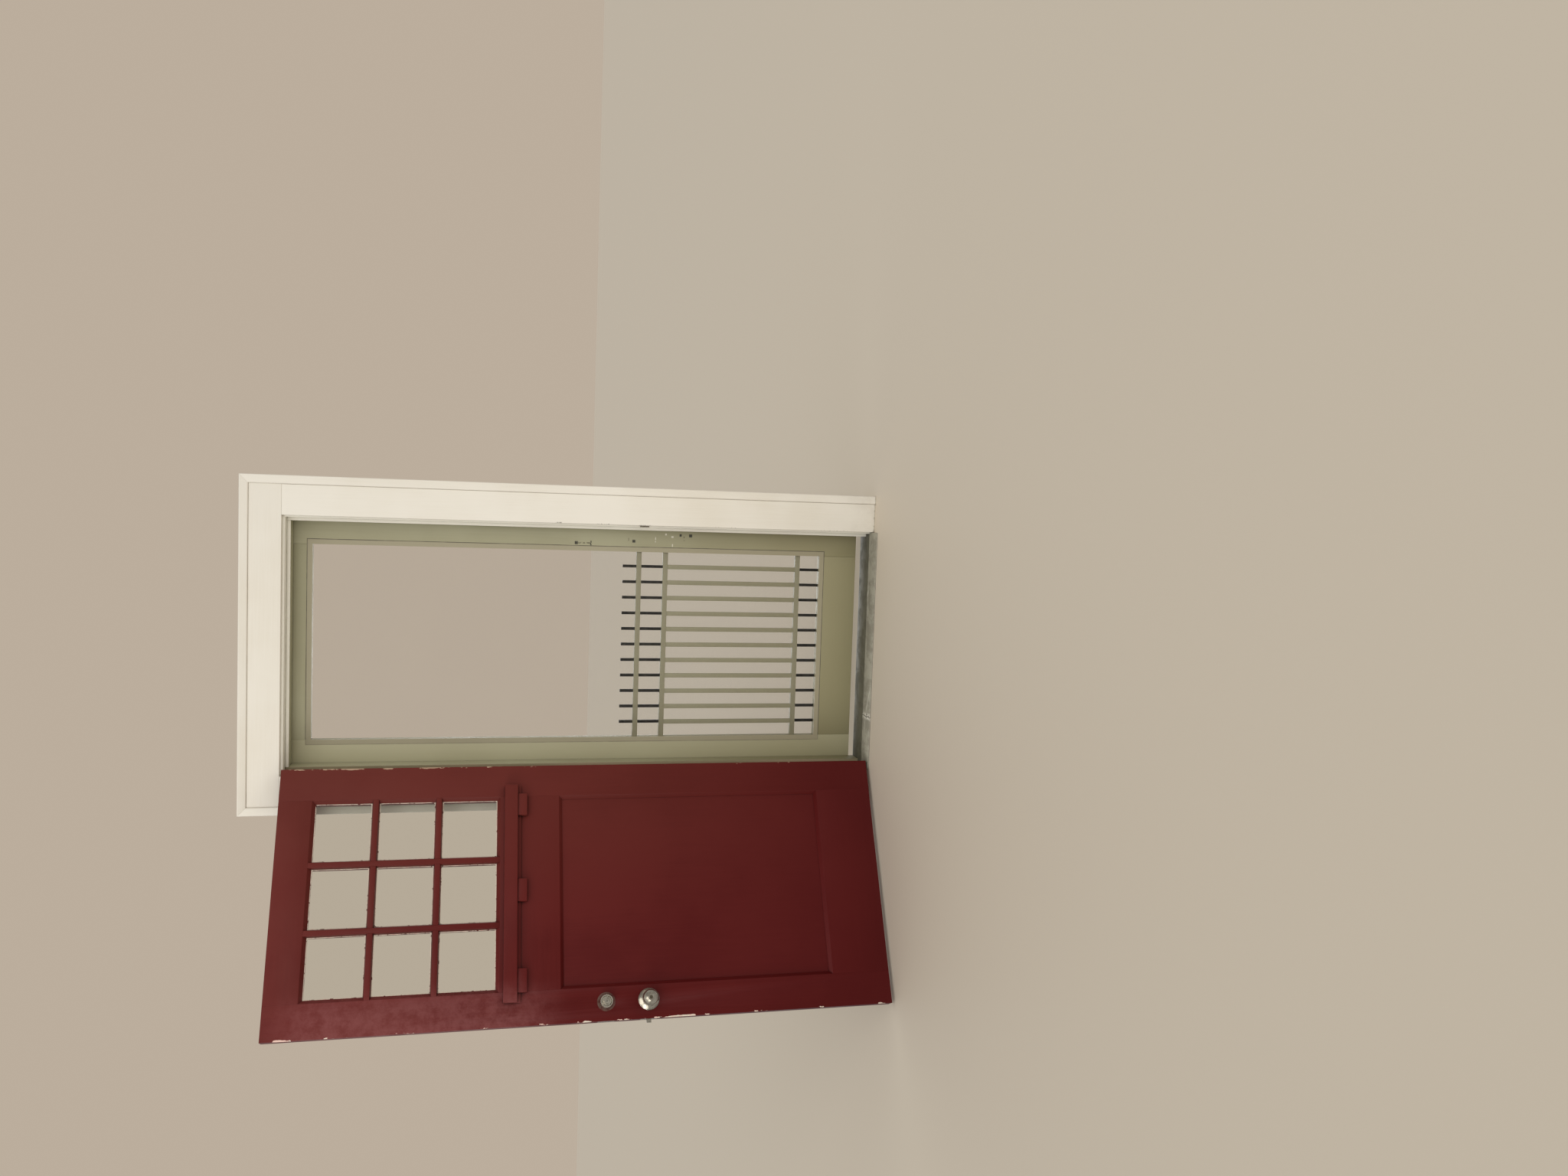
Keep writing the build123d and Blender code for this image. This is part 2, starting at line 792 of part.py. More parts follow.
def deadbolt_collar():
    """Tapered guard round the deadbolt's cylinder, dished in front."""
    bore = key_plug_radius + running_clearance
    outline = Polyline((bore, 0), (collar_radius, 0), (collar_radius, collar_reach - 4),
                       (collar_radius - 2, collar_reach), (collar_radius - 6, collar_reach),
                       (collar_radius - 8, collar_reach - 3), (bore + 4, collar_reach - 3),
                       (bore + 3, collar_reach - 1), (bore, collar_reach - 1), close=True)
    return turned(outline)


def turn_plate():
    """Round plate behind the thumb turn."""
    bore = key_plug_radius + running_clearance
    outline = Polyline((bore, 0), (turn_plate_radius, 0), (turn_plate_radius, turn_plate_height - 3),
                       (turn_plate_radius - 3, turn_plate_height), (bore, turn_plate_height), close=True)
    return turned(outline)


def deadbolt_plug():
    """Keyed plug with the flat tailpiece that reaches the thumb turn."""
    face = collar_reach - 1
    plug = Pos(0, 0, face) * key_plug(key_plug_radius, key_plug_depth)
    tail = slab(-tailpiece_width / 2, tailpiece_width / 2, -tailpiece_thickness / 2,
                tailpiece_thickness / 2, -leaf_thickness - turn_plate_height / 2, face - key_plug_depth)
    return plug + tail


def thumb_turn():
    """Thumb turn: a hub in the plate with an oval grip."""
    hub = Pos(0, 0, turn_plate_height) * Cylinder(key_plug_radius, 2 * turn_plate_height)
    grip = extrude(SlotOverall(turn_length, turn_width), turn_height)
    grip = Pos(0, 0, turn_plate_height + 1) * grip
    socket = slab(-tailpiece_width / 2, tailpiece_width / 2, -tailpiece_thickness / 2,
                  tailpiece_thickness / 2, -turn_plate_height, turn_plate_height / 2)
    return hub + grip - socket


def bolt_case(z):
    """Tube and faceplate let into the leaf's edge."""
    inner = edge_bore - case_clearance - case_wall
    tube = Pos(leaf_edge - case_reach / 2, lock_y, z) * Rot(0, 90, 0) * Cylinder(edge_bore - case_clearance,
                                                                                case_reach)
    plate = slab(leaf_edge - faceplate_thickness, leaf_edge, lock_y - faceplate_width / 2,
                 lock_y + faceplate_width / 2, z - faceplate_height / 2, z + faceplate_height / 2)
    plate = fillet(plate.edges().filter_by(Axis.X), faceplate_width / 5)
    hollow = Pos(leaf_edge - case_reach / 2, lock_y, z) * Rot(0, 90, 0) * Cylinder(inner, 2 * case_reach)
    lid = slab(leaf_edge - faceplate_thickness, leaf_edge, lock_y - edge_bore, lock_y + edge_bore,
               z - edge_bore, z + edge_bore)
    return tube - hollow + (plate - tube) + (lid & tube)


def latch_bolt_outline():
    """Plan of the latch bolt: square on one side, bevelled on the other."""
    half = latch_bolt_thickness / 2
    tip = leaf_edge + latch_throw
    return [(leaf_edge - latch_tail, lock_y - half), (leaf_edge + 1, lock_y - half),
            (tip, lock_y + half - 2), (tip, lock_y + half), (leaf_edge - latch_tail, lock_y + half)]


def latch_bolt():
    """Spring latch bolt, out by its throw."""
    half = latch_bolt_height / 2
    return upright(latch_bolt_outline(), latch_z - half, latch_z + half)


def deadbolt_bolt():
    """Square deadbolt, drawn back flush with its faceplate."""
    half_z, half_y = deadbolt_height / 2, deadbolt_thickness / 2
    bolt = slab(leaf_edge - deadbolt_length, leaf_edge, lock_y - half_y, lock_y + half_y,
                deadbolt_z - half_z, deadbolt_z + half_z)
    return chamfer(bolt.faces().sort_by(Axis.X)[-1].edges(), 1)


def bolt_hole(z, height, thickness):
    """Hole in a case's faceplate that its bolt runs in."""
    half_y, half_z = thickness / 2 + bolt_clearance, height / 2 + bolt_clearance
    return slab(leaf_edge - case_reach, leaf_edge + 1, lock_y - half_y, lock_y + half_y,
                z - half_z, z + half_z)


def faceplate_screw_places(z):
    """Two screws in a faceplate."""
    offset = faceplate_height / 2 - 1.6 * screw_head_radius
    return [Pos(leaf_edge, lock_y, z + side * offset) * Rot(0, 90, 0) for side in (-1, 1)]


def lock_cases():
    """Both cases with their bolts' holes and screw holes."""
    cases = []
    for z, height, thickness in ((latch_z, latch_bolt_height, latch_bolt_thickness),
                                 (deadbolt_z, deadbolt_height, deadbolt_thickness)):
        case = bolt_case(z) - bolt_hole(z, height, thickness)
        cases.append(cut(case, [place * screw_hole() for place in faceplate_screw_places(z)]))
    return cases


def lock_bores():
    """What the lock set needs bored out of the latch stile."""
    bores = []
    for z, radius in ((latch_z, latch_cross_bore), (deadbolt_z, deadbolt_cross_bore)):
        bores.append(drilled(radius, lock_x, z, -1, leaf_thickness + 1))
        length = backset + 1
        bores.append(Pos(lock_x + length / 2, lock_y, z) * Rot(0, 90, 0) * Cylinder(edge_bore, length))
        plate = slab(leaf_edge - faceplate_thickness, leaf_edge, lock_y - faceplate_width / 2,
                     lock_y + faceplate_width / 2, z - faceplate_height / 2, z + faceplate_height / 2)
        bores.append(fillet(plate.edges().filter_by(Axis.X), faceplate_width / 5))
        bores.extend(place * screw_hole() for place in faceplate_screw_places(z))
    return bores


# Screen door

screen_edge = half_opening - hang_gap
screen_top = opening_height - hang_gap
screen_sight = screen_edge - screen_stile
rabbet_back = screen_front + screen_bead_thickness + cloth_thickness
bar_front = rabbet_back + bar_setback
lower_sight = screen_bottom + screen_bottom_rail
upper_sight = screen_top - screen_top_rail


def screen_frame():
    """Stiles and rails of the screen door, rabbeted all round for the cloth and its beads."""
    rabbet = slab(-screen_sight - screen_bead_width, screen_sight + screen_bead_width,
                  screen_front, rabbet_back, lower_sight - screen_bead_width,
                  upper_sight + screen_bead_width)
    middle = (rabbet_back + screen_back) / 2
    half = tenon_thickness / 4
    stile = slab(-screen_edge, -screen_sight, screen_front, screen_back, screen_bottom, screen_top)
    rails = {"screen_bottom_rail": (screen_bottom, lower_sight), "screen_top_rail": (upper_sight, screen_top)}
    made = {}
    for name, (low, high) in rails.items():
        reach = screen_sight + tenon_length
        tongue = slab(-reach, reach, middle - half, middle + half, low + tenon_shoulder, high - tenon_shoulder)
        rail = slab(-screen_sight, screen_sight, screen_front, screen_back, low, high)
        stile -= tongue
        made[name] = rail + tongue - rabbet
    stile -= rabbet
    _, mortises = hinge_mortises(1)
    holes = [place * screw_hole() for place in screen_screw_places(1)]
    made["screen_hinge_stile"] = cut(stile, mortises + holes)
    made["screen_latch_stile"] = mirrored(stile)
    return made


def screen_beads():
    """Four mitred beads in the rabbet, over the edge of the cloth."""
    left, right = -screen_sight, screen_sight
    inner = [(left, lower_sight), (right, lower_sight), (right, upper_sight), (left, upper_sight)]
    grow = screen_bead_width
    outer = [(left - grow, lower_sight - grow), (right + grow, lower_sight - grow),
             (right + grow, upper_sight + grow), (left - grow, upper_sight + grow)]
    beads = []
    for i in range(4):
        j = (i + 1) % 4
        face = Plane.XZ * make_face(Polyline(inner[i], inner[j], outer[j], outer[i], close=True))
        beads.append(Pos(0, screen_front, 0) * extrude(face, screen_bead_thickness, dir=(0, 1, 0)))
    return beads


def screen_cloth():
    """Insect cloth, held round its edge between the beads and the rabbet."""
    grow = screen_bead_width - cloth_play
    return slab(-screen_sight - grow, screen_sight + grow, rabbet_back - cloth_thickness, rabbet_back,
                lower_sight - grow, upper_sight + grow)


def bar_lines():
    """Underside of each cross bar of the guard."""
    lower = lower_sight + lower_bar_rise
    middle = lower + bar_height + panel_bar_rise
    upper = middle + bar_height + upper_bar_rise
    return lower, middle, upper


def rod_lines():
    """Centre line of every rod."""
    return [(i - (rod_count - 1) / 2) * rod_pitch for i in range(rod_count)]


def guard_rods():
    """Slim rods from the bottom rail through the bars to their free ends."""
    back = bar_front + bar_depth - 1
    top = bar_lines()[2] + bar_height + rod_rise
    return [slab(x - rod_size / 2, x + rod_size / 2, back - rod_size, back, lower_sight, top)
            for x in rod_lines()]


def guard_bars(rods):
    """Three cross bars between the stiles, with holes for the rods."""
    bars = []
    for low in bar_lines():
        bar = slab(-screen_sight, screen_sight, bar_front, bar_front + bar_depth, low, low + bar_height)
        bars.append(cut(bar, rods))
    return bars


def guard_slats():
    """Flat slats on the room side of the rods, between the two lower bars."""
    lower, middle, _ = bar_lines()
    back = bar_front + bar_depth - 1 - rod_size
    return [slab(x - slat_width / 2, x + slat_width / 2, back - slat_thickness, back, lower + bar_height, middle)
            for x in rod_lines()]


# Assembly: pieces of the leaf are swung open about the hinge pins

swing = Pos(pin_x, pin_y, 0) * Rot(0, 0, -leaf_open_angle) * Pos(-pin_x, -pin_y, 0)


def frame_pieces():
    """Everything that stays with the frame."""
    band_side, band_head = back_bands()
    jamb_screws = entry_screw_places(-1) + screen_screw_places(-1) + strike_screws()
    entry_pin = hinge_pin(hinge_height, pin_radius, knuckle_radius)
    screen_pin = hinge_pin(screen_hinge_height, screen_pin_radius, screen_knuckle_radius)
    return {
        "hinge_jamb": hinge_jamb(),
        "strike_jamb": strike_jamb(),
        "head_jamb": head_jamb(),
        "sill": sill(),
        "threshold_strip": threshold_strip(),
        "hinge_stop": side_stop(),
        "strike_stop": mirrored(side_stop()),
        "head_stop": head_stop(),
        "hinge_casing": side_casing(),
        "strike_casing": mirrored(side_casing()),
        "head_casing": head_casing(),
        "hinge_back_band": band_side,
        "strike_back_band": mirrored(band_side),
        "head_back_band": band_head,
        "latch_strike": latch_strike(),
        "deadbolt_strike": deadbolt_strike(),
        "entry_hinge_jamb_plates": group(entry_hinge(-1)),
        "screen_hinge_jamb_plates": group(screen_hinge(-1)),
        "hinge_pins": group([place * entry_pin for place in entry_places]
                            + [place * Rot(180, 0, 0) * screen_pin for place in screen_places]),
        "jamb_screws": group([place * screw() for place in jamb_screws]),
    }


def leaf_pieces():
    """Everything that swings with the entry leaf, drawn shut."""
    hinge_stile, latch_stile, rails = stiles_and_rails()
    uprights, crossbars = muntins(rails, (hinge_stile, latch_stile))
    mortises, _ = hinge_mortises(1)
    holes = [place * screw_hole() for place in entry_screw_places(1)]
    latch_case, deadbolt_case = lock_cases()
    shelf = door_shelf()
    screws = entry_screw_places(1) + faceplate_screw_places(latch_z) + faceplate_screw_places(deadbolt_z)
    pieces = {
        "hinge_stile": cut(hinge_stile, mortises + holes),
        "latch_stile": cut(latch_stile, lock_bores()),
        "door_panel": door_panel(),
        "muntin_uprights": group(uprights),
        "muntin_crossbars": group(crossbars),
        "glass_panes": group(glass_panes()),
        "glazing_beads": group(glazing_beads()),
        "door_shelf": shelf,
        "shelf_dentils": group(dentils(shelf)),
        "entry_hinge_door_plates": group(entry_hinge(1)),
        "leaf_screws": group([place * screw() for place in screws]),
        "latch_case": latch_case,
        "deadbolt_case": deadbolt_case,
        "outer_rose": on_outside(latch_z) * rose(),
        "inner_rose": on_inside(latch_z) * rose(),
        "deadbolt_collar": on_outside(deadbolt_z) * deadbolt_collar(),
        "turn_plate": on_inside(deadbolt_z) * turn_plate(),
        "latch_bolt": latch_bolt(),
        "deadbolt_bolt": deadbolt_bolt(),
        "outer_knob": on_outside(latch_z) * knob(key_plug_radius + running_clearance, key_plug_depth),
        "inner_knob": on_inside(latch_z) * knob(lock_button_radius + running_clearance, key_plug_depth),
        "knob_spindle": spindle(),
        "knob_key_plug": on_outside(latch_z) * Pos(0, 0, knob_reach) * key_plug(key_plug_radius, key_plug_depth),
        "lock_button": on_inside(latch_z) * Pos(0, 0, knob_reach) * lock_button(),
        "deadbolt_plug": on_outside(deadbolt_z) * deadbolt_plug(),
        "thumb_turn": on_inside(deadbolt_z) * thumb_turn(),
    }
    pieces.update(rails)
    return pieces


def screen_pieces():
    """Everything that swings with the screen door."""
    rods = guard_rods()
    pieces = screen_frame()
    pieces.update({
        "screen_beads": group(screen_beads()),
        "screen_cloth": screen_cloth(),
        "guard_rods": group(rods),
        "guard_bars": group(guard_bars(rods)),
        "guard_slats": group(guard_slats()),
        "screen_hinge_door_plates": group(screen_hinge(1)),
        "screen_screws": group([place * screw() for place in screen_screw_places(1)]),
    })
    return pieces


def save(name, shape):
    """One STEP file for one node."""
    export_step(shape, "parts/" + name + ".step")


for name, shape in frame_pieces().items():
    save(name, shape)
for name, shape in leaf_pieces().items():
    save(name, swing * shape)
for name, shape in screen_pieces().items():
    save(name, shape)
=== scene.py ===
import json
import math

import bmesh
import bpy
import numpy as np
from mathutils import Matrix, Vector

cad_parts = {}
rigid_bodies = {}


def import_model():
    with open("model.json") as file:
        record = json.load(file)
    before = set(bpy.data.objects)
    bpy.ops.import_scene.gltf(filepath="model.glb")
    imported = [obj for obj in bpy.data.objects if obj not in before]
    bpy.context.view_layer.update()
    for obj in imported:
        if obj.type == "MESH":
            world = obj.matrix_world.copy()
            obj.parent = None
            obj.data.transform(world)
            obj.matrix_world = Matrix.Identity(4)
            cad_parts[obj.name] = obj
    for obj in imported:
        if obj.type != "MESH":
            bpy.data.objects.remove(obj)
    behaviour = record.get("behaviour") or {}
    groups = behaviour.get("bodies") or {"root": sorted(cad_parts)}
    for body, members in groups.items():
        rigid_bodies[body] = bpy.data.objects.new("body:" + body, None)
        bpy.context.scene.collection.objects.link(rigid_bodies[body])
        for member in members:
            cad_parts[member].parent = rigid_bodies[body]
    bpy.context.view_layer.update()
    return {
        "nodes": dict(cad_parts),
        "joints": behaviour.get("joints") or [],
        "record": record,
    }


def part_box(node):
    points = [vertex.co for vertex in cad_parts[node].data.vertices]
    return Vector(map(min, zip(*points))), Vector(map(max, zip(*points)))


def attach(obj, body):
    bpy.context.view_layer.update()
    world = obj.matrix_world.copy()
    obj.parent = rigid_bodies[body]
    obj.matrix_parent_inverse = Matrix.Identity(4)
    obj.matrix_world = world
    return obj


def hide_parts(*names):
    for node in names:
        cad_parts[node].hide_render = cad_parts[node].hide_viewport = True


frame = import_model()
nodes = frame["nodes"]
joints = {joint["name"]: joint for joint in frame["joints"]}

# Places taken from the frame. The leaf stands open, so its own axes are the frame's
# turned about the hinge pin; in them it lies shut, with its outer face at leafThickness.
pinPlace = Vector(joints["entry_door_swing"]["pos_m"])
openAngle = math.radians(joints["entry_door_swing"]["range_deg"][1])
shut = Matrix.Translation(pinPlace) @ Matrix.Rotation(openAngle, 4, "Z") @ Matrix.Translation(-pinPlace)
swungOpen = shut.inverted()
knobPlace = Vector(joints["knob_turn"]["pos_m"])
deadboltSpot = shut @ Vector(joints["deadbolt_turn"]["pos_m"])
leafThickness = (shut @ knobPlace).y
freeEdge = max((shut @ Vector(corner.co)).x for corner in nodes["latch_stile"].data.vertices)
hingeEdge = min((shut @ Vector(corner.co)).x for corner in nodes["hinge_stile"].data.vertices)
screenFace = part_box("screen_latch_stile")[0].y
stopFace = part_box("head_stop")[0].y
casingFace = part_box("strike_casing")[0].y
beadLow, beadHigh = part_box("screen_beads")
print("frame loaded")


# node helpers

def put(tree, kind, inputs=None, **settings):
    made = tree.nodes.new("ShaderNode" + kind)
    for key, value in settings.items():
        setattr(made, key, value)
    for key, value in (inputs or {}).items():
        feed(tree, made.inputs[key], value)
    return made


def feed(tree, socket, value):
    if isinstance(value, bpy.types.NodeSocket):
        tree.links.new(value, socket)
    else:
        socket.default_value = value


def calc(tree, operation, a, b=0.0, c=0.0, clamp=False):
    return put(tree, "Math", {0: a, 1: b, 2: c}, operation=operation, use_clamp=clamp).outputs[0]


def times(tree, a, b):
    return calc(tree, "MULTIPLY", a, b)


def ramp(tree, value, low, high, start=0.0, end=1.0):
    # smooth step of value between low and high, from start to end
    given = {0: value, 1: low, 2: high, 3: start, 4: end}
    return put(tree, "MapRange", given, interpolation_type="SMOOTHSTEP").outputs[0]


def blendColour(tree, factor, a, b):
    return put(tree, "Mix", {0: factor, 6: a, 7: b}, data_type="RGBA").outputs[2]


def over(tree, colour, tint, mask, share=None):
    # tint laid over colour where the mask is, at a share of its full strength
    return blendColour(tree, mask if share is None else times(tree, mask, share), colour, tint)


def split(tree, place):
    return put(tree, "SeparateXYZ", {0: place}).outputs


def noise(tree, vector, scale, detail=4.0, roughness=0.55):
    made = put(tree, "TexNoise", {"Vector": vector, "Scale": scale, "Detail": detail, "Roughness": roughness})
    return made.outputs["Fac"]


def startGroup(name, inputs, outputs):
    tree = bpy.data.node_groups.new(name, "ShaderNodeTree")
    for label, kind, value in inputs:
        socket = tree.interface.new_socket(label, in_out="INPUT", socket_type="NodeSocket" + kind)
        if value is not None:
            socket.default_value = value
    for label, kind in outputs:
        tree.interface.new_socket(label, in_out="OUTPUT", socket_type="NodeSocket" + kind)
    return tree, tree.nodes.new("NodeGroupInput").outputs, tree.nodes.new("NodeGroupOutput").inputs


def useGroup(tree, group, inputs):
    made = tree.nodes.new("ShaderNodeGroup")
    made.node_tree = group
    for key, value in inputs.items():
        feed(tree, made.inputs[key], value)
    return made.outputs


# shared effects, each a group built once
# In every dictionary of this file a ramp is (from, to, value at from, value at to), a noise (scale, detail,
# roughness), worn edges (radius, amount, breakup), painted shade with dirt in the hollows (reach, amount),
# scratches (scale, amount) and a bump (strength, depth in metres). A share says how much of one thing lies
# over another.

brushwork = {"detail": (5.0, 0.6), "cloud": (2.6, 3.0, 0.5), "specks": (95.0, 2.0, 0.5), "speckShare": 0.35,
             "fineShare": 0.22, "cloudShare": 0.78}


def brushMarksGroup():
    # streaks left by a brush, long along the stretched axis of the vector, and slow cloudy tone
    tree, given, result = startGroup("brushMarks", [("Vector", "Vector", None), ("Fineness", "Float", 1.0)],
                                     [("Height", "Float"), ("Tone", "Float")])
    fine = noise(tree, given["Vector"], given["Fineness"], *brushwork["detail"])
    plain = put(tree, "TexCoord").outputs["Object"]
    cloud = times(tree, noise(tree, plain, *brushwork["cloud"]), brushwork["cloudShare"])
    specks = noise(tree, plain, *brushwork["specks"])
    feed(tree, result["Height"], calc(tree, "MULTIPLY_ADD", specks, brushwork["speckShare"], fine))
    feed(tree, result["Tone"], calc(tree, "MULTIPLY_ADD", fine, brushwork["fineShare"], cloud))
    return tree


wearing = {"samples": 6, "sharp": (0.02, 0.22), "detail": (6.0, 0.65), "soft": 0.08}


def wornEdgesGroup():
    # where the rounded normal leaves the true one there is an edge; noise breaks it up
    tree, given, result = startGroup("wornEdges", [("Radius", "Float", 0.003), ("Amount", "Float", 0.5),
                                                   ("Breakup", "Float", 40.0)], [("Mask", "Float")])
    rounded = put(tree, "Bevel", {"Radius": given["Radius"]}, samples=wearing["samples"]).outputs[0]
    true = put(tree, "NewGeometry").outputs["Normal"]
    along = put(tree, "VectorMath", {0: rounded, 1: true}, operation="DOT_PRODUCT").outputs["Value"]
    edge = ramp(tree, calc(tree, "SUBTRACT", 1.0, along), *wearing["sharp"])
    plain = put(tree, "TexCoord").outputs["Object"]
    broken = noise(tree, plain, given["Breakup"], *wearing["detail"])
    limit = calc(tree, "SUBTRACT", 1.0, given["Amount"])
    chosen = ramp(tree, broken, limit, calc(tree, "ADD", limit, wearing["soft"]))
    feed(tree, result["Mask"], times(tree, edge, chosen))
    return tree


hollows = {"samples": 6, "dark": (0.25, 0.8, 1.0, 0.0), "noise": (30.0, 4.0),
           "broken": (0.25, 0.6, 0.55, 1.0)}


def creviceGroup():
    # painted shade with dirt: darker where the ambient occlusion finds little light reaching, broken up by
    # noise
    tree, given, result = startGroup("crevice", [("Distance", "Float", 0.01), ("Amount", "Float", 0.6)],
                                     [("Mask", "Float")])
    reached = put(tree, "AmbientOcclusion", {"Distance": given["Distance"]}, samples=hollows["samples"])
    dark = ramp(tree, reached.outputs["AO"], *hollows["dark"])
    plain = put(tree, "TexCoord").outputs["Object"]
    broken = ramp(tree, noise(tree, plain, *hollows["noise"]), *hollows["broken"])
    feed(tree, result["Mask"], times(tree, times(tree, dark, broken), given["Amount"]))
    return tree


dusting = {"facing": (0.3, 0.95), "noise": (11.0, 6.0, 0.65), "cloud": (0.3, 0.7), "topShare": 0.7}


def dustGroup():
    # dust lies on what faces up and thins out with height above the floor
    tree, given, result = startGroup("dust", [("Reach", "Float", 0.5), ("Amount", "Float", 0.5)],
                                     [("Mask", "Float")])
    plain = put(tree, "TexCoord").outputs["Object"]
    low = ramp(tree, split(tree, plain)["Z"], 0.0, given["Reach"], 1.0, 0.0)
    up = ramp(tree, split(tree, put(tree, "NewGeometry").outputs["Normal"])["Z"], *dusting["facing"])
    cloud = ramp(tree, noise(tree, plain, *dusting["noise"]), *dusting["cloud"])
    both = calc(tree, "MAXIMUM", times(tree, low, cloud), times(tree, up, dusting["topShare"]))
    feed(tree, result["Mask"], calc(tree, "MULTIPLY", both, given["Amount"], clamp=True))
    return tree


flaking = {"large": (2.0, 0.5), "largeSize": 0.22, "small": (5.0, 0.6), "largeShare": 0.55,
           "smallShare": 0.45, "zoneShare": 0.5, "mask": (0.72, 0.745), "step": (0.70, 0.76, 1.0, 0.0)}


def chipsGroup():
    # flakes of paint lost inside a zone: a large and a small noise over a limit that the zone lowers
    tree, given, result = startGroup("chips", [("Vector", "Vector", None), ("Zone", "Float", 0.0),
                                               ("Size", "Float", 60.0), ("Amount", "Float", 0.5)],
                                     [("Mask", "Float"), ("Step", "Float")])
    large = noise(tree, given["Vector"], times(tree, given["Size"], flaking["largeSize"]), *flaking["large"])
    small = noise(tree, given["Vector"], given["Size"], *flaking["small"])
    both = calc(tree, "MULTIPLY_ADD", large, flaking["largeShare"], times(tree, small, flaking["smallShare"]))
    lowered = times(tree, given["Amount"], flaking["zoneShare"])
    level = calc(tree, "MULTIPLY_ADD", given["Zone"], lowered, both)
    feed(tree, result["Mask"], ramp(tree, level, *flaking["mask"]))
    feed(tree, result["Step"], ramp(tree, level, *flaking["step"]))
    return tree


scratching = {"line": (0.0, 0.006, 1.0, 0.0), "patchSize": 0.7, "detail": 3.0, "soft": 0.12}


def scratchesGroup():
    # fine lines: the edges of stretched cells, kept only in patches
    tree, given, result = startGroup("scratches", [("Vector", "Vector", None), ("Scale", "Float", 6.0),
                                                   ("Amount", "Float", 0.3)], [("Mask", "Float")])
    cells = put(tree, "TexVoronoi", {"Vector": given["Vector"], "Scale": given["Scale"]},
                feature="DISTANCE_TO_EDGE").outputs["Distance"]
    line = ramp(tree, cells, *scratching["line"])
    size = times(tree, given["Scale"], scratching["patchSize"])
    patch = noise(tree, given["Vector"], size, scratching["detail"])
    limit = calc(tree, "SUBTRACT", 1.0, given["Amount"])
    kept = ramp(tree, patch, limit, calc(tree, "ADD", limit, scratching["soft"]))
    feed(tree, result["Mask"], times(tree, line, kept))
    return tree


brushMarks, wornEdges, crevice = brushMarksGroup(), wornEdgesGroup(), creviceGroup()
dust, chips, scratches = dustGroup(), chipsGroup(), scratchesGroup()
print("shared effects built")


# materials

strokeScale = {"X": (0.03, 1.0, 1.0), "Z": (1.0, 1.0, 0.03)}  # long strokes along X or Z


def startMaterial(name):
    made = bpy.data.materials.new(name)
    made.use_nodes = True
    tree = made.node_tree
    return made, tree, tree.nodes["Principled BSDF"]


def finishMaterial(tree, shader, colour, rough, height, strength, depth):
    feed(tree, shader.inputs["Base Color"], colour)
    feed(tree, shader.inputs["Roughness"], rough)
    bump = put(tree, "Bump", {"Strength": strength, "Distance": depth, "Height": height}).outputs[0]
    feed(tree, shader.inputs["Normal"], bump)


def placeOf(tree, onLeaf=False):
    # coordinates of the frame, or of the leaf lying shut
    plain = put(tree, "TexCoord").outputs["Object"]
    if not onLeaf:
        return plain
    offset = pinPlace - Matrix.Rotation(openAngle, 3, "Z") @ pinPlace
    turned = {"Vector": plain, "Location": offset, "Rotation": (0, 0, openAngle)}
    return put(tree, "Mapping", turned).outputs[0]


def scaled(tree, place, scale):
    return put(tree, "Mapping", {"Vector": place, "Scale": scale}).outputs[0]


def strokes(tree, place, along, fineness):
    vector = scaled(tree, place, strokeScale[along])
    return useGroup(tree, brushMarks, {"Vector": vector, "Fineness": fineness})


def edgesOf(tree, radius, amount, breakup):
    return useGroup(tree, wornEdges, {"Radius": radius, "Amount": amount, "Breakup": breakup})["Mask"]


def shadeAndDirtOf(tree, distance, amount):
    return useGroup(tree, crevice, {"Distance": distance, "Amount": amount})["Mask"]


def linesOf(tree, place, scale, amount):
    vector = scaled(tree, place, strokeScale["X"])
    return useGroup(tree, scratches, {"Vector": vector, "Scale": scale, "Amount": amount})["Mask"]


def band(tree, value, low, high, soft):
    # one from low to high, fading out over soft beyond them
    return times(tree, ramp(tree, value, low - soft, low), ramp(tree, value, high, high + soft, 1.0, 0.0))


red = {
    "paint": (0.112, 0.0110, 0.0102, 1), "deep": (0.075, 0.0046, 0.0048, 1),
    "fadedAndSheen": (0.150, 0.036, 0.028, 1), "aged": (0.140, 0.034, 0.024, 1),
    "scuffedAndSheen": (0.240, 0.078, 0.078, 1), "grimeAndShade": (0.022, 0.007, 0.006, 1),
    "ring": (0.15, 0.105, 0.085, 1), "primer": (0.74, 0.52, 0.45, 1),
    "undercoat": (0.72, 0.65, 0.55, 1), "hingeEdge": (0.40, 0.275, 0.19, 1),
    "fineness": 210.0, "tone": (0.34, 0.62, 0.30, 1.0), "paintedShadeUp": (0.0, 1.5, 0.35, 1.0),
    "fadedAndSheenUp": (1.0, 2.0), "fadedAndSheenNoise": (5.0,), "fadedAndSheenCloud": (0.3, 0.7, 0.5, 1.0), "fadedAndSheenShare": 0.42,
    "agedAcross": (0.20, -0.42), "agedUp": (0.1, 1.2, 0.15, 1.0), "agedShare": 0.40,
    "edges": (0.0022, 0.36, 55.0), "panelEdges": (0.0022, 0.2, 55.0), "edgeShare": 0.45,
    "scratches": (13.0, 0.40), "scratchShare": 0.35, "shadeAndDirt": (0.012, 0.75),
    "roughness": (0.2, 0.8, 0.36, 0.48), "shadeAndDirtRoughness": 0.25, "chipRoughness": 0.35, "specular": 0.15,
    "bump": (0.09, 0.0008),
}
film = {"up": (1.30, 1.86, 0.22), "across": (0.27, 0.37), "streaks": (60.0, 6.0, 0.7), "streakShare": 0.2,
        "smears": (22.0, 7.0, 0.72), "smearShare": 0.8, "strength": (0.36, 0.62, 0.16, 0.55)}
wornRing = {"reach": (0.010, 0.0285, 0.0022), "behind": (0.002, 0.001), "noise": (55.0, 4.0),
            "strength": (0.35, 0.6, 0.25, 0.75)}
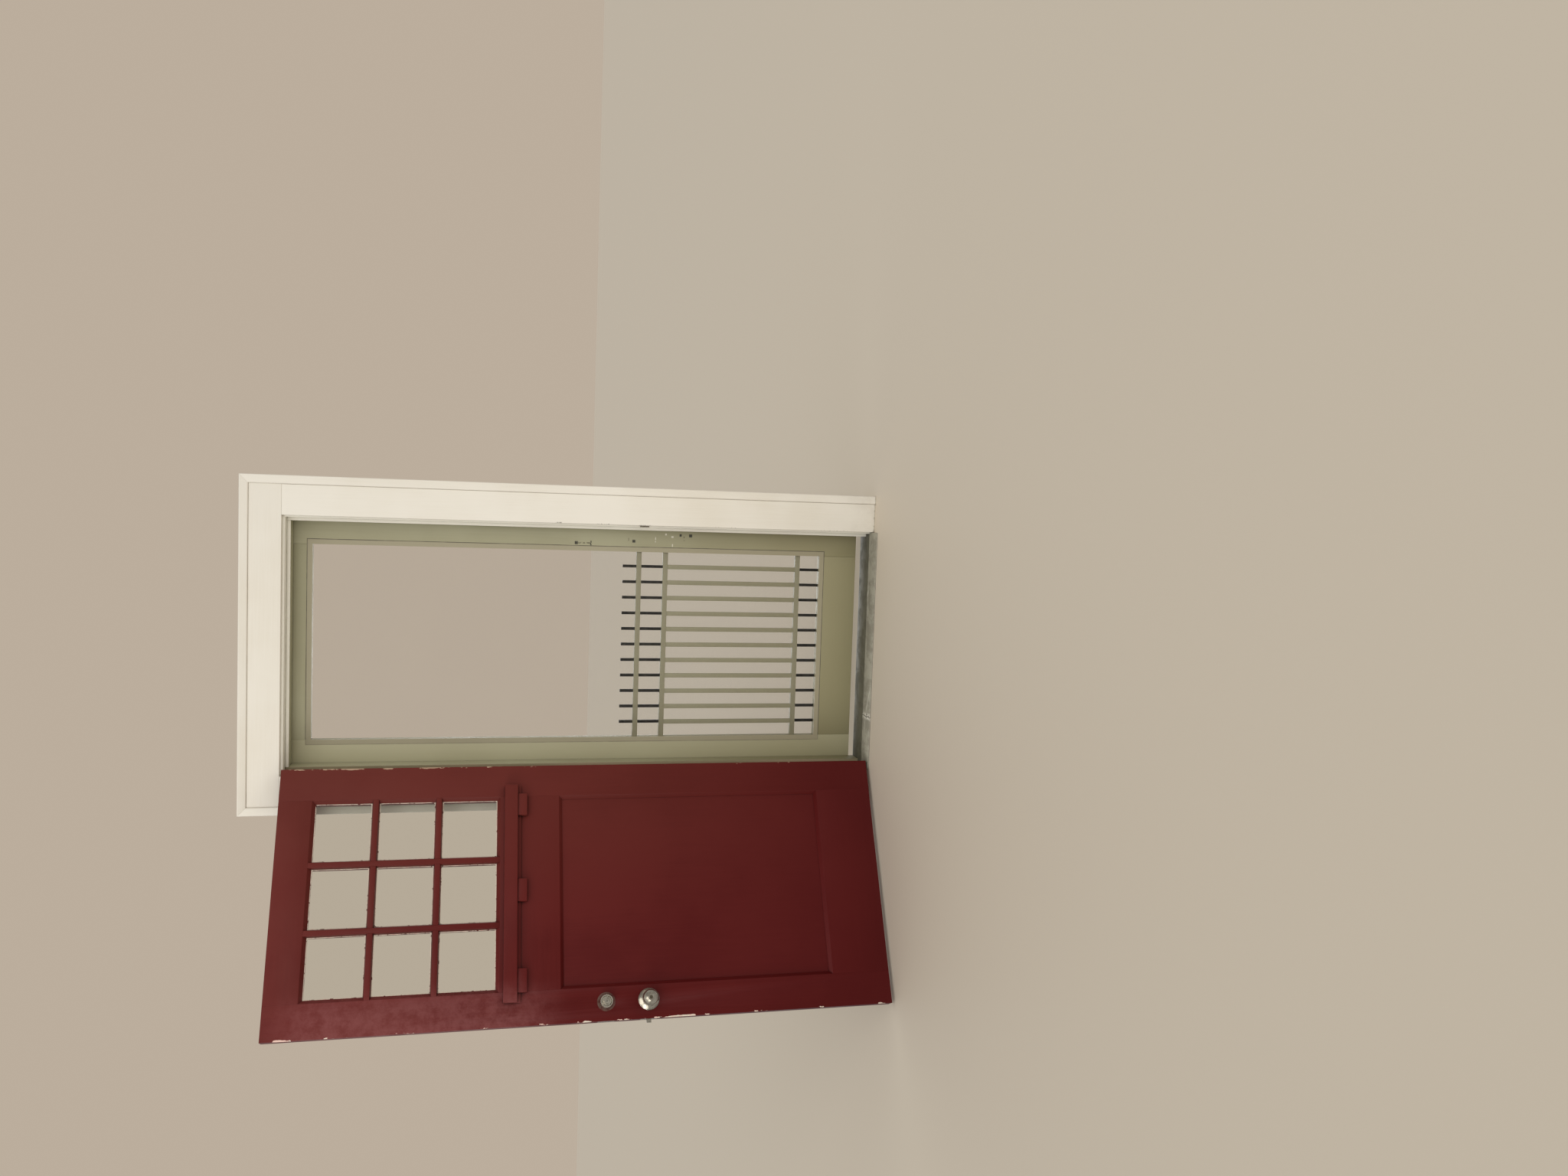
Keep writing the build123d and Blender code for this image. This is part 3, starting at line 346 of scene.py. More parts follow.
chipping = {  # reaches from the edges and the outer face, then the flakes and what shows in them
    "free": (0.0075, 0.0025), "hinge": (0.0080, 0.0025), "hingeUp": (1.2, 1.7, 0.42, 0.85),
    "deep": (0.0090, 0.0020), "deepShare": (0.35, 1.0), "between": 0.42, "soft": 0.012,
    "squeeze": (1.0, 1.0, 0.42), "size": 170.0, "amount": 0.54, "step": 2.0, "sharpen": (0.02, 0.15),
    "shadeNoise": (60.0,), "shade": (0.4, 0.6), "towardsHinge": (0.0, -0.1),
}
chippedEdge = [  # heights on the free edge where paint has come off, and how much
    (0.700, 0.828, 1.0), (0.860, 0.875, 0.7), (0.940, 0.985, 0.7), (1.045, 1.078, 0.8), (1.170, 1.200, 0.95),
    (1.318, 1.385, 0.55), (1.590, 1.740, 0.60), (1.955, 2.000, 0.95),
]


def deadboltRing(tree, place, spot):
    # worn ring round the deadbolt, on the outer face only
    across = calc(tree, "SUBTRACT", spot["X"], deadboltSpot.x)
    above = calc(tree, "SUBTRACT", spot["Z"], deadboltSpot.z)
    reach = calc(tree, "SQRT", calc(tree, "ADD", times(tree, across, across), times(tree, above, above)))
    outside = ramp(tree, spot["Y"], *(leafThickness - behind for behind in wornRing["behind"]))
    worn = ramp(tree, noise(tree, place, *wornRing["noise"]), *wornRing["strength"])
    return times(tree, times(tree, band(tree, reach, *wornRing["reach"]), outside), worn)


def redChips(tree, place, spot):
    # the zones along the free and the hinge edge where paint is lost, and the flakes in them
    free = ramp(tree, spot["X"], *(freeEdge - reach for reach in chipping["free"]))
    busy = chipping["between"]
    for lowest, highest, amount in chippedEdge:
        stretch = times(tree, band(tree, spot["Z"], lowest, highest, chipping["soft"]), amount)
        busy = calc(tree, "MAXIMUM", busy, stretch)
    hinge = times(tree, ramp(tree, spot["X"], *(hingeEdge + reach for reach in chipping["hinge"])),
                  ramp(tree, spot["Z"], *chipping["hingeUp"]))
    zone = calc(tree, "MAXIMUM", times(tree, free, busy), hinge)
    deep = (leafThickness - reach for reach in chipping["deep"])
    zone = times(tree, zone, ramp(tree, spot["Y"], *deep, *chipping["deepShare"]))
    lost = useGroup(tree, chips, {"Vector": scaled(tree, place, chipping["squeeze"]), "Zone": zone,
                                  "Size": chipping["size"], "Amount": chipping["amount"]})
    return zone, lost


def redMaterial(name, along, edges=red["edges"]):
    made, tree, shader = startMaterial(name)
    place = placeOf(tree, True)
    spot = split(tree, place)
    marks = strokes(tree, place, along, red["fineness"])
    # random tone, and painted shade: lower on the leaf the paint turns towards the deep red
    tone = times(tree, ramp(tree, marks["Tone"], *red["tone"]), ramp(tree, spot["Z"], *red["paintedShadeUp"]))
    colour = blendColour(tree, tone, red["deep"], red["paint"])
    # lighter towards the top in clouds: partly paint faded where hands and sun reach, partly a painted sheen;
    # aged towards the hinges
    fadedAndSheen = times(tree, ramp(tree, spot["Z"], *red["fadedAndSheenUp"]),
                  ramp(tree, noise(tree, place, *red["fadedAndSheenNoise"]), *red["fadedAndSheenCloud"]))
    colour = over(tree, colour, red["fadedAndSheen"], fadedAndSheen, red["fadedAndSheenShare"])
    aged = times(tree, ramp(tree, spot["X"], *red["agedAcross"]),
                 ramp(tree, spot["Z"], *red["agedUp"]))
    colour = over(tree, colour, red["aged"], aged, red["agedShare"])
    # the free stile above the deadbolt is paler in streaks and smears: partly scuffs, partly a painted sheen
    high = times(tree, band(tree, spot["Z"], *film["up"]), ramp(tree, spot["X"], *film["across"]))
    streaks = noise(tree, scaled(tree, place, strokeScale["Z"]), *film["streaks"])
    smears = times(tree, noise(tree, place, *film["smears"]), film["smearShare"])
    smears = calc(tree, "MULTIPLY_ADD", streaks, film["streakShare"], smears)
    scuffAndSheen = times(tree, high, ramp(tree, smears, *film["strength"]))
    colour = over(tree, colour, red["scuffedAndSheen"], scuffAndSheen)
    colour = over(tree, colour, red["fadedAndSheen"], edgesOf(tree, *edges), red["edgeShare"])
    lines = linesOf(tree, place, *red["scratches"])
    colour = over(tree, colour, red["fadedAndSheen"], lines, red["scratchShare"])
    # painted shade with grime: the paint darkens in the hollows round the mouldings
    shadeAndDirt = shadeAndDirtOf(tree, *red["shadeAndDirt"])
    colour = over(tree, colour, red["grimeAndShade"], shadeAndDirt)
    colour = over(tree, colour, red["ring"], deadboltRing(tree, place, spot))
    # where the paint is chipped off, primer, undercoat or, at the hinges, old wood shows
    zone, lost = redChips(tree, place, spot)
    patches = ramp(tree, noise(tree, place, *chipping["shadeNoise"]), *chipping["shade"])
    shade = blendColour(tree, patches, red["primer"], red["undercoat"])
    shade = over(tree, shade, red["hingeEdge"], ramp(tree, spot["X"], *chipping["towardsHinge"]))
    gone = times(tree, lost["Mask"], ramp(tree, zone, *chipping["sharpen"]))
    colour = over(tree, colour, shade, gone)
    rough = ramp(tree, marks["Tone"], *red["roughness"])
    rough = calc(tree, "MULTIPLY_ADD", gone, red["chipRoughness"], rough)
    rough = calc(tree, "MULTIPLY_ADD", shadeAndDirt, red["shadeAndDirtRoughness"], rough)
    height = calc(tree, "MULTIPLY_ADD", lost["Step"], times(tree, zone, chipping["step"]), marks["Height"])
    finishMaterial(tree, shader, colour, rough, height, *red["bump"])
    shader.inputs["Specular IOR Level"].default_value = red["specular"]
    return made


knock = {"behind": (0.0012, 0.0020), "noise": (150.0, 5.0, 0.7), "core": 0.6, "fray": 0.06, "share": 0.9}


def knocks(tree, place, colour, spots, tints, faceAt):
    # small marks on one face: soft boxes broken up by noise; ragged says how much
    spot = split(tree, place)
    face = ramp(tree, spot["Y"], *(faceAt + behind for behind in knock["behind"]), 1.0, 0.0)
    broken = noise(tree, place, *knock["noise"])
    for across, up, halfWidth, halfHeight, ragged, tint in spots:
        aside = calc(tree, "ABSOLUTE", calc(tree, "SUBTRACT", spot["X"], across))
        above = calc(tree, "ABSOLUTE", calc(tree, "SUBTRACT", spot["Z"], up))
        inside = times(tree, ramp(tree, aside, halfWidth * knock["core"], halfWidth, 1.0, 0.0),
                       ramp(tree, above, halfHeight * knock["core"], halfHeight, 1.0, 0.0))
        kept = ramp(tree, broken, ragged, ragged + knock["fray"])
        colour = over(tree, colour, tints[tint], times(tree, times(tree, inside, face), kept), knock["share"])
    return colour


white = {
    "paint": (0.800, 0.765, 0.685, 1), "warm": (0.740, 0.695, 0.600, 1), "bright": (0.88, 0.86, 0.77, 1),
    "grimeAndShade": (0.30, 0.26, 0.19, 1), "under": (0.36, 0.33, 0.24, 1), "floorDirt": (0.42, 0.37, 0.30, 1),
    "scuff": (0.27, 0.26, 0.22, 1), "rub": (0.47, 0.45, 0.40, 1),
    "fineness": 190.0, "tone": (0.30, 0.62), "edges": (0.0025, 0.30, 38.0), "edgeShare": 0.8,
    "shadeAndDirt": (0.008, 0.45), "dust": {"Reach": 0.16, "Amount": 0.30},
    "footNoise": (70.0, 5.0, 0.7), "footUneven": 0.022, "foot": (0.0125, 0.0150, 0.8, 0.0),
    "roughness": (0.2, 0.8, 0.38, 0.52), "bump": (0.16, 0.0009),
}
casingScuffs = [  # across, height, half width, half height, raggedness, colour name
    (0.4395, 1.149, 0.0030, 0.012, 0.44, "scuff"), (0.4395, 0.996, 0.0026, 0.028, 0.52, "scuff"),
    (0.4393, 0.848, 0.0015, 0.026, 0.47, "rub"), (0.4395, 0.560, 0.0024, 0.050, 0.56, "under"),
    (0.4395, 0.150, 0.0030, 0.080, 0.55, "under"),
]


def whiteMaterial(name, along, scuffs=()):
    made, tree, shader = startMaterial(name)
    place = placeOf(tree)
    marks = strokes(tree, place, along, white["fineness"])
    tone = ramp(tree, marks["Tone"], *white["tone"])
    colour = blendColour(tree, tone, white["warm"], white["paint"])
    edges = edgesOf(tree, *white["edges"])
    colour = over(tree, colour, white["under"], edges, white["edgeShare"])
    # painted shade with grime: darker in the hollows
    colour = over(tree, colour, white["grimeAndShade"], shadeAndDirtOf(tree, *white["shadeAndDirt"]))
    low = useGroup(tree, dust, white["dust"])["Mask"]
    colour = over(tree, colour, white["floorDirt"], low)
    if scuffs:
        colour = knocks(tree, place, colour, scuffs, white, casingFace)
    # the paint is broken away unevenly at the floor
    uneven = noise(tree, place, *white["footNoise"])
    uneven = calc(tree, "MULTIPLY_ADD", uneven, white["footUneven"], split(tree, place)["Z"])
    colour = over(tree, colour, white["under"], ramp(tree, uneven, *white["foot"]))
    rough = ramp(tree, marks["Tone"], *white["roughness"])
    finishMaterial(tree, shader, colour, rough, marks["Height"], *white["bump"])
    return made


green = {
    "paint": (0.358, 0.340, 0.222, 1), "pale": (0.412, 0.398, 0.270, 1), "low": (0.268, 0.238, 0.126, 1),
    "weathered": (0.365, 0.322, 0.235, 1), "guard": (0.285, 0.264, 0.176, 1),
    "paintedLight": (0.500, 0.475, 0.320, 1), "grimeAndShade": (0.050, 0.045, 0.030, 1), "bare": (0.46, 0.40, 0.29, 1),
    "speck": (0.74, 0.71, 0.62, 1), "holeShade": (0.012, 0.011, 0.010, 1), "ghost": (0.150, 0.138, 0.085, 1),
    "fineness": 170.0, "tone": (0.32, 0.66), "paintedShadeLowUp": (0.0, 1.1, 0.85, 0.0),
    "edges": (0.0018, 0.34, 60.0), "edgeShare": 0.6, "shadeAndDirt": (0.005, 0.6), "narrowShadeAndDirt": (0.0008, 0.6),
    "roughness": (0.2, 0.8, 0.46, 0.60), "bump": (0.11, 0.0008), "coatUp": (0.2, 1.8), "coatFade": 0.001,
}
coats = {  # later coats and weather, and on the hinge stile a paler green that is painted light: colour name, share low down and high up, depth from the room side
    "stile": ("paintedLight", 0.36, 0.64, 0.003), "slats": ("guard", 0.72, 0.72, 1.0),
    "bars": ("guard", 0.95, 0.95, 1.0), "beads": ("weathered", 0.60, 0.60, 1.0),
}
beadCrack = {"behind": (0.0012, 0.0022), "line": (0.0010, 0.0021, 1.0, 0.0), "noise": (24.0, 4.0),
             "strength": (0.3, 0.6, 0.55, 0.92)}
# the holes are painted as near-black spots: painted shade for their depth
latchMarks = [  # where pull and latch were: across, height, half width, half height, raggedness, colour name
    (0.3675, 1.078, 0.0070, 0.0070, 0.36, "holeShade"), (0.3675, 1.050, 0.0032, 0.0300, 0.44, "ghost"),
    (0.3675, 1.026, 0.0100, 0.0032, 0.38, "holeShade"), (0.3780, 0.871, 0.0064, 0.0068, 0.00, "holeShade"),
    (0.3840, 0.890, 0.0065, 0.0016, 0.42, "ghost"), (0.3854, 0.792, 0.0120, 0.0018, 0.42, "speck"),
    (0.4058, 0.754, 0.0040, 0.0038, 0.33, "speck"), (0.3970, 0.730, 0.0036, 0.0050, 0.36, "speck"),
    (0.3660, 0.729, 0.0060, 0.0022, 0.40, "speck"), (0.4036, 0.700, 0.0056, 0.0050, 0.30, "holeShade"),
    (0.4030, 0.663, 0.0068, 0.0072, 0.30, "holeShade"), (0.3915, 0.687, 0.0110, 0.0026, 0.47, "ghost"),
]


def crackMask(tree, place, spot):
    # the crack in the paint round the screen door's beads: a thin line on a rectangle
    middle, half = (beadLow.z + beadHigh.z) / 2, (beadHigh.z - beadLow.z) / 2
    aside = calc(tree, "SUBTRACT", calc(tree, "ABSOLUTE", spot["X"]), beadHigh.x)
    above = calc(tree, "SUBTRACT", calc(tree, "ABSOLUTE", calc(tree, "SUBTRACT", spot["Z"], middle)), half)
    away = calc(tree, "ABSOLUTE", calc(tree, "MAXIMUM", aside, above))
    face = ramp(tree, spot["Y"], *(beadLow.y + behind for behind in beadCrack["behind"]), 1.0, 0.0)
    strength = ramp(tree, noise(tree, place, *beadCrack["noise"]), *beadCrack["strength"])
    return times(tree, times(tree, ramp(tree, away, *beadCrack["line"]), face), strength)


def greenColour(tree, place, along, shadeAndDirt=green["shadeAndDirt"]):
    marks = strokes(tree, place, along, green["fineness"])
    spot = split(tree, place)
    tone = ramp(tree, marks["Tone"], *green["tone"])
    colour = blendColour(tree, tone, green["paint"], green["pale"])
    # painted shade: the green turns darker and browner towards the bottom
    colour = over(tree, colour, green["low"], ramp(tree, spot["Z"], *green["paintedShadeLowUp"]))
    edges = edgesOf(tree, *green["edges"])
    colour = over(tree, colour, green["bare"], edges, green["edgeShare"])
    # painted shade with grime: darker in the hollows
    colour = over(tree, colour, green["grimeAndShade"], shadeAndDirtOf(tree, *shadeAndDirt))
    return over(tree, colour, green["grimeAndShade"], crackMask(tree, place, spot)), marks


def greenMaterial(name, along, marksLeft=(), coat=None, shadeAndDirt=green["shadeAndDirt"]):
    made, tree, shader = startMaterial(name)
    place = placeOf(tree)
    colour, marks = greenColour(tree, place, along, shadeAndDirt)
    # a later coat over the room face; on the hinge stile it is painted light, paler towards the top to lift
    # its shaded face
    if coat:
        tint, low, high, deep = coats[coat]
        spot = split(tree, place)
        end = screenFace + deep
        share = times(tree, ramp(tree, spot["Z"], *green["coatUp"], low, high),
                      ramp(tree, spot["Y"], end, end + green["coatFade"], 1.0, 0.0))
        colour = over(tree, colour, green[tint], share)
    if marksLeft:
        colour = knocks(tree, place, colour, marksLeft, green, screenFace)
    rough = ramp(tree, marks["Tone"], *green["roughness"])
    finishMaterial(tree, shader, colour, rough, marks["Height"], *green["bump"])
    return made


twoTone = {  # where the green begins, from the stops' room face, and the paints of the room side
    "stop": 0.004, "jamb": -0.002, "noise": (45.0, 5.0, 0.7), "middle": 0.5, "ragged": 0.010, "fade": 0.0006,
    # the room side of jambs and stops takes a brighter white than the casings: painted light for these shaded
    # faces
    "white": (white["bright"], white["paint"]),
    "hingeStop": ((0.25, 0.215, 0.130, 1), (0.30, 0.235, 0.155, 1)),
    "hingeJamb": ((0.21, 0.175, 0.105, 1), (0.27, 0.20, 0.135, 1)),
    "shadeAndDirt": (0.007, 0.40), "roughness": (0.2, 0.8, 0.38, 0.54), "bump": (0.20, 0.0008),
}


def twoToneMaterial(name, along, board, roomSide):
    # the room side of the board in one paint, the outer side green, the border brushed by hand
    made, tree, shader = startMaterial(name)
    place = placeOf(tree)
    outer, marks = greenColour(tree, place, along)
    first, second = twoTone[roomSide]
    room = blendColour(tree, ramp(tree, marks["Tone"], *white["tone"]), second, first)
    # painted shade with grime: darker in the hollows of the room side
    room = over(tree, room, white["grimeAndShade"], shadeAndDirtOf(tree, *twoTone["shadeAndDirt"]))
    uneven = calc(tree, "SUBTRACT", noise(tree, place, *twoTone["noise"]), twoTone["middle"])
    line = calc(tree, "ADD", split(tree, place)["Y"], times(tree, uneven, twoTone["ragged"]))
    border = stopFace + twoTone[board]
    colour = blendColour(tree, ramp(tree, line, border, border + twoTone["fade"]), room, outer)
    rough = ramp(tree, marks["Tone"], *twoTone["roughness"])
    finishMaterial(tree, shader, colour, rough, marks["Height"], *twoTone["bump"])
    return made


floorWear = {  # paint, worn paint, bright scuffs and scratches
    "sill": ((0.115, 0.108, 0.073, 1), (0.098, 0.092, 0.063, 1), (0.142, 0.130, 0.095, 1), (26.0, 0.56)),
    "strip": ((0.360, 0.340, 0.267, 1), (0.255, 0.238, 0.184, 1), (0.72, 0.69, 0.60, 1), (26.0, 0.62)),
    "gritAndShade": (0.05, 0.045, 0.035, 1), "fineness": 160.0, "patches": (17.0, 7.0, 0.68), "worn": (0.42, 0.60),
    "scratchShare": 0.85, "edges": (0.004, 0.58, 35.0), "edgeShare": 0.6, "shadeAndDirt": (0.012, 0.8),
    "crackAt": -0.245, "crack": (0.0008, 0.0016, 1.0, 0.0), "flakesAside": (0.006, 0.016, 1.0, 0.0),
    "flakes": (120.0, 5.0, 0.7), "flaked": (0.46, 0.54),
    "roughness": (0.0, 1.0, 0.60, 0.75), "hollow": -0.8, "bump": (0.5, 0.001),
}


def walkedOnMaterial(name, crackAt=None):
    # paint walked through: broad worn patches, scuffs across the way, and grit with painted shade in the low
    # places
    made, tree, shader = startMaterial(name)
    paint, worn, bright, scratched = floorWear[name]
    place = placeOf(tree)
    marks = strokes(tree, place, "X", floorWear["fineness"])
    patch = ramp(tree, noise(tree, place, *floorWear["patches"]), *floorWear["worn"])
    colour = blendColour(tree, patch, paint, worn)
    colour = over(tree, colour, bright, linesOf(tree, place, *scratched), floorWear["scratchShare"])
    colour = over(tree, colour, bright, edgesOf(tree, *floorWear["edges"]), floorWear["edgeShare"])
    if crackAt is not None:
        across = calc(tree, "ABSOLUTE", calc(tree, "SUBTRACT", split(tree, place)["X"], crackAt))
        flaked = times(tree, ramp(tree, across, *floorWear["flakesAside"]),
                       ramp(tree, noise(tree, place, *floorWear["flakes"]), *floorWear["flaked"]))
        colour = over(tree, colour, bright, flaked)
        colour = over(tree, colour, green["grimeAndShade"], ramp(tree, across, *floorWear["crack"]))
    # painted shade with grit: darker in the hollows
    colour = over(tree, colour, floorWear["gritAndShade"], shadeAndDirtOf(tree, *floorWear["shadeAndDirt"]))
    rough = ramp(tree, patch, *floorWear["roughness"])
    height = calc(tree, "MULTIPLY_ADD", patch, floorWear["hollow"], marks["Height"])
    finishMaterial(tree, shader, colour, rough, height, *floorWear["bump"])
    return made


rod = {
    "black": (0.013, 0.011, 0.009, 1), "dusty": (0.032, 0.029, 0.023, 1), "worn": (0.12, 0.11, 0.095, 1),
    "cloud": (40.0, 5.0, 0.6), "dust": (0.35, 0.7), "edges": (0.0012, 0.42, 90.0), "edgeShare": 0.7,
    "roughness": (0.3, 0.7, 0.45, 0.65), "specular": 0.25, "bump": (0.2, 0.0005),
}


def blackRodMaterial(name):
    made, tree, shader = startMaterial(name)
    cloud = noise(tree, placeOf(tree), *rod["cloud"])
    colour = blendColour(tree, ramp(tree, cloud, *rod["dust"]), rod["black"], rod["dusty"])
    colour = over(tree, colour, rod["worn"], edgesOf(tree, *rod["edges"]), rod["edgeShare"])
    rough = ramp(tree, cloud, *rod["roughness"])
    finishMaterial(tree, shader, colour, rough, cloud, *rod["bump"])
    shader.inputs["Specular IOR Level"].default_value = rod["specular"]
    return made


metals = {  # bright, tarnished, roughness, and the two tones of a film of paint over it
    "satinNickel": ((0.62, 0.570, 0.47, 1), (0.36, 0.325, 0.26, 1), (0.22, 0.34), None),
    "oldBrass": ((0.30, 0.255, 0.175, 1), (0.17, 0.14, 0.095, 1), (0.26, 0.45), None),
    "paintedHinge": ((0.50, 0.42, 0.30, 1), (0.30, 0.25, 0.18, 1), (0.30, 0.48),
                     ((0.30, 0.28, 0.19, 1), (0.38, 0.31, 0.21, 1))),
}
metal = {
    "grimeAndShade": (0.035, 0.028, 0.02, 1), "paintGrimeAndShade": (0.06, 0.045, 0.03, 1), "rubbed": (0.8, 0.77, 0.7, 1),
    "grain": (1, 1, 14), "brushed": (160.0, 4.0), "cloud": (75.0, 5.0, 0.62), "tarnish": (0.38, 0.68),
    "shadeAndDirt": (0.004, 0.9), "edges": (0.0010, 0.52, 120.0), "rubbedShare": 0.5, "bareShare": 0.75,
    "paintTone": (0.40, 0.62), "metallic": (0.3, 0.9, 1.0, 0.3), "rougher": (0.3, 0.75),
    "paintRoughness": 0.12, "relief": 0.5, "bump": (0.12, 0.0004),
}


def metalMaterial(name):
    # satin metal with tarnish in the hollows; painted hardware shows metal only at its edges
    made, tree, shader = startMaterial(name)
    bright, dark, roughness, paintOver = metals[name]
    place = placeOf(tree)
    brushed = noise(tree, scaled(tree, place, metal["grain"]), *metal["brushed"])
    cloud = noise(tree, place, *metal["cloud"])
    shadeAndDirt, edges = shadeAndDirtOf(tree, *metal["shadeAndDirt"]), edgesOf(tree, *metal["edges"])
    colour = blendColour(tree, ramp(tree, cloud, *metal["tarnish"]), bright, dark)
    colour = over(tree, colour, metal["grimeAndShade"], shadeAndDirt)
    rough = ramp(tree, cloud, *metal["rougher"], *roughness)
    if paintOver is None:
        colour = over(tree, colour, metal["rubbed"], edges, metal["rubbedShare"])
        feed(tree, shader.inputs["Metallic"], ramp(tree, shadeAndDirt, *metal["metallic"]))
    else:
        bare = times(tree, edges, metal["bareShare"])
        paint = blendColour(tree, ramp(tree, cloud, *metal["paintTone"]), *paintOver)
        colour = blendColour(tree, bare, over(tree, paint, metal["paintGrimeAndShade"], shadeAndDirt), colour)
        feed(tree, shader.inputs["Metallic"], bare)
        rough = calc(tree, "ADD", rough, metal["paintRoughness"])
    height = calc(tree, "MULTIPLY_ADD", cloud, metal["relief"], brushed)
    finishMaterial(tree, shader, colour, rough, height, *metal["bump"])
    return made


glass = {
    "tint": (0.93, 0.955, 0.93, 1), "shadow": (0.94, 0.96, 0.94, 1), "bend": 1.48, "transmission": 1.0,
    "roughness": 0.01, "smeared": 0.06, "smears": (14.0, 6.0, 0.7), "smear": (0.50, 0.72),
    "ripple": (9.0, 2.0, 0.4), "bump": (0.06, 0.004),
}


def glassMaterial(name):
    # window glass with a slightly uneven surface and smears; a shadow ray finds it clear
    made, tree, shader = startMaterial(name)
    place = placeOf(tree)
    smear = ramp(tree, noise(tree, place, *glass["smears"]), *glass["smear"])
    rough = calc(tree, "MULTIPLY_ADD", smear, glass["smeared"], glass["roughness"])
    finishMaterial(tree, shader, glass["tint"], rough, noise(tree, place, *glass["ripple"]), *glass["bump"])
    shader.inputs["Transmission Weight"].default_value = glass["transmission"]
    shader.inputs["IOR"].default_value = glass["bend"]
    clear = put(tree, "BsdfTransparent", {"Color": glass["shadow"]}).outputs[0]
    shadow = put(tree, "LightPath").outputs["Is Shadow Ray"]
    mixed = put(tree, "MixShader", {0: shadow, 1: shader.outputs[0], 2: clear}).outputs[0]
    tree.links.new(mixed, tree.nodes["Material Output"].inputs["Surface"])
    return made


cloth = {
    "pitch": 0.0016, "thread": (0.040, 0.042, 0.038, 1), "dusty": (0.15, 0.145, 0.12, 1),
    "width": (0.80, 0.97), "cloud": (3.5, 5.0, 0.6), "dust": (0.4, 0.7), "dustShare": 0.6,
    "cover": (0.0, 1.0, 0.006, 0.085), "roughness": (0.0, 1.0, 0.55, 0.8), "bump": (0.3, 0.0003),
}


def clothMaterial(name):
    # plain weave of dark thread: two sets of waves, |sin(pi x / pitch)| and |sin(pi z / pitch)|
    made, tree, shader = startMaterial(name)
    place = placeOf(tree)
    spot = split(tree, place)
    threads = []
    for axis in "XZ":
        wave = calc(tree, "SINE", times(tree, spot[axis], math.pi / cloth["pitch"]))
        threads.append(ramp(tree, calc(tree, "ABSOLUTE", wave), *cloth["width"]))
    thread = calc(tree, "MAXIMUM", *threads)
    cloud = ramp(tree, noise(tree, place, *cloth["cloud"]), *cloth["dust"])
    colour = over(tree, cloth["thread"], cloth["dusty"], cloud, cloth["dustShare"])
    feed(tree, shader.inputs["Alpha"], ramp(tree, thread, *cloth["cover"]))
    rough = ramp(tree, cloud, *cloth["roughness"])
    finishMaterial(tree, shader, colour, rough, thread, *cloth["bump"])
    return made


oldPrimer = {
    "primer": (0.60, 0.40, 0.34, 1), "undercoat": (0.66, 0.56, 0.46, 1), "noise": (70.0, 5.0, 0.7),
    "mixed": (0.35, 0.5), "painted": (0.56, 0.62), "roughness": (0.3, 0.7, 0.45, 0.7), "bump": (0.4, 0.0006),
}


def rimMaterial(name):
    # old primer showing where the glass was scraped clean
    made, tree, shader = startMaterial(name)
    patch = noise(tree, placeOf(tree), *oldPrimer["noise"])
    pale = over(tree, oldPrimer["primer"], oldPrimer["undercoat"], ramp(tree, patch, *oldPrimer["mixed"]))
    colour = over(tree, pale, red["paint"], ramp(tree, patch, *oldPrimer["painted"]))
    rough = ramp(tree, patch, *oldPrimer["roughness"])
    finishMaterial(tree, shader, colour, rough, patch, *oldPrimer["bump"])
    return made


recipes = {  # each material: what makes it, and with what
    "redUpright": (redMaterial, "Z"), "redLevel": (redMaterial, "X"),
    "redPanel": (redMaterial, "Z", red["panelEdges"]),
    "whiteUpright": (whiteMaterial, "Z"), "whiteLevel": (whiteMaterial, "X"),
    "whiteScuffed": (whiteMaterial, "Z", casingScuffs),
    "greenUpright": (greenMaterial, "Z", (), "stile"), "greenLevel": (greenMaterial, "X"),
    "greenLatch": (greenMaterial, "Z", latchMarks),
    "guardUpright": (greenMaterial, "Z", (), "slats", green["narrowShadeAndDirt"]),
    "guardLevel": (greenMaterial, "X", (), "bars", green["narrowShadeAndDirt"]),
    "beads": (greenMaterial, "Z", (), "beads", green["narrowShadeAndDirt"]),
    "stopUpright": (twoToneMaterial, "Z", "stop", "white"),
    "stopLevel": (twoToneMaterial, "X", "stop", "white"),
    "jambUpright": (twoToneMaterial, "Z", "jamb", "white"),
    "jambLevel": (twoToneMaterial, "X", "jamb", "white"),
    "stopHinge": (twoToneMaterial, "Z", "stop", "hingeStop"),
    "jambHinge": (twoToneMaterial, "Z", "jamb", "hingeJamb"),
    "sill": (walkedOnMaterial,), "strip": (walkedOnMaterial, floorWear["crackAt"]),
    "blackRod": (blackRodMaterial,), "satinNickel": (metalMaterial,), "oldBrass": (metalMaterial,),
    "paintedHinge": (metalMaterial,), "glass": (glassMaterial,), "cloth": (clothMaterial,),
    "rim": (rimMaterial,),
}
materials = {name: recipe[0](name, *recipe[1:]) for name, recipe in recipes.items()}
print("materials built")

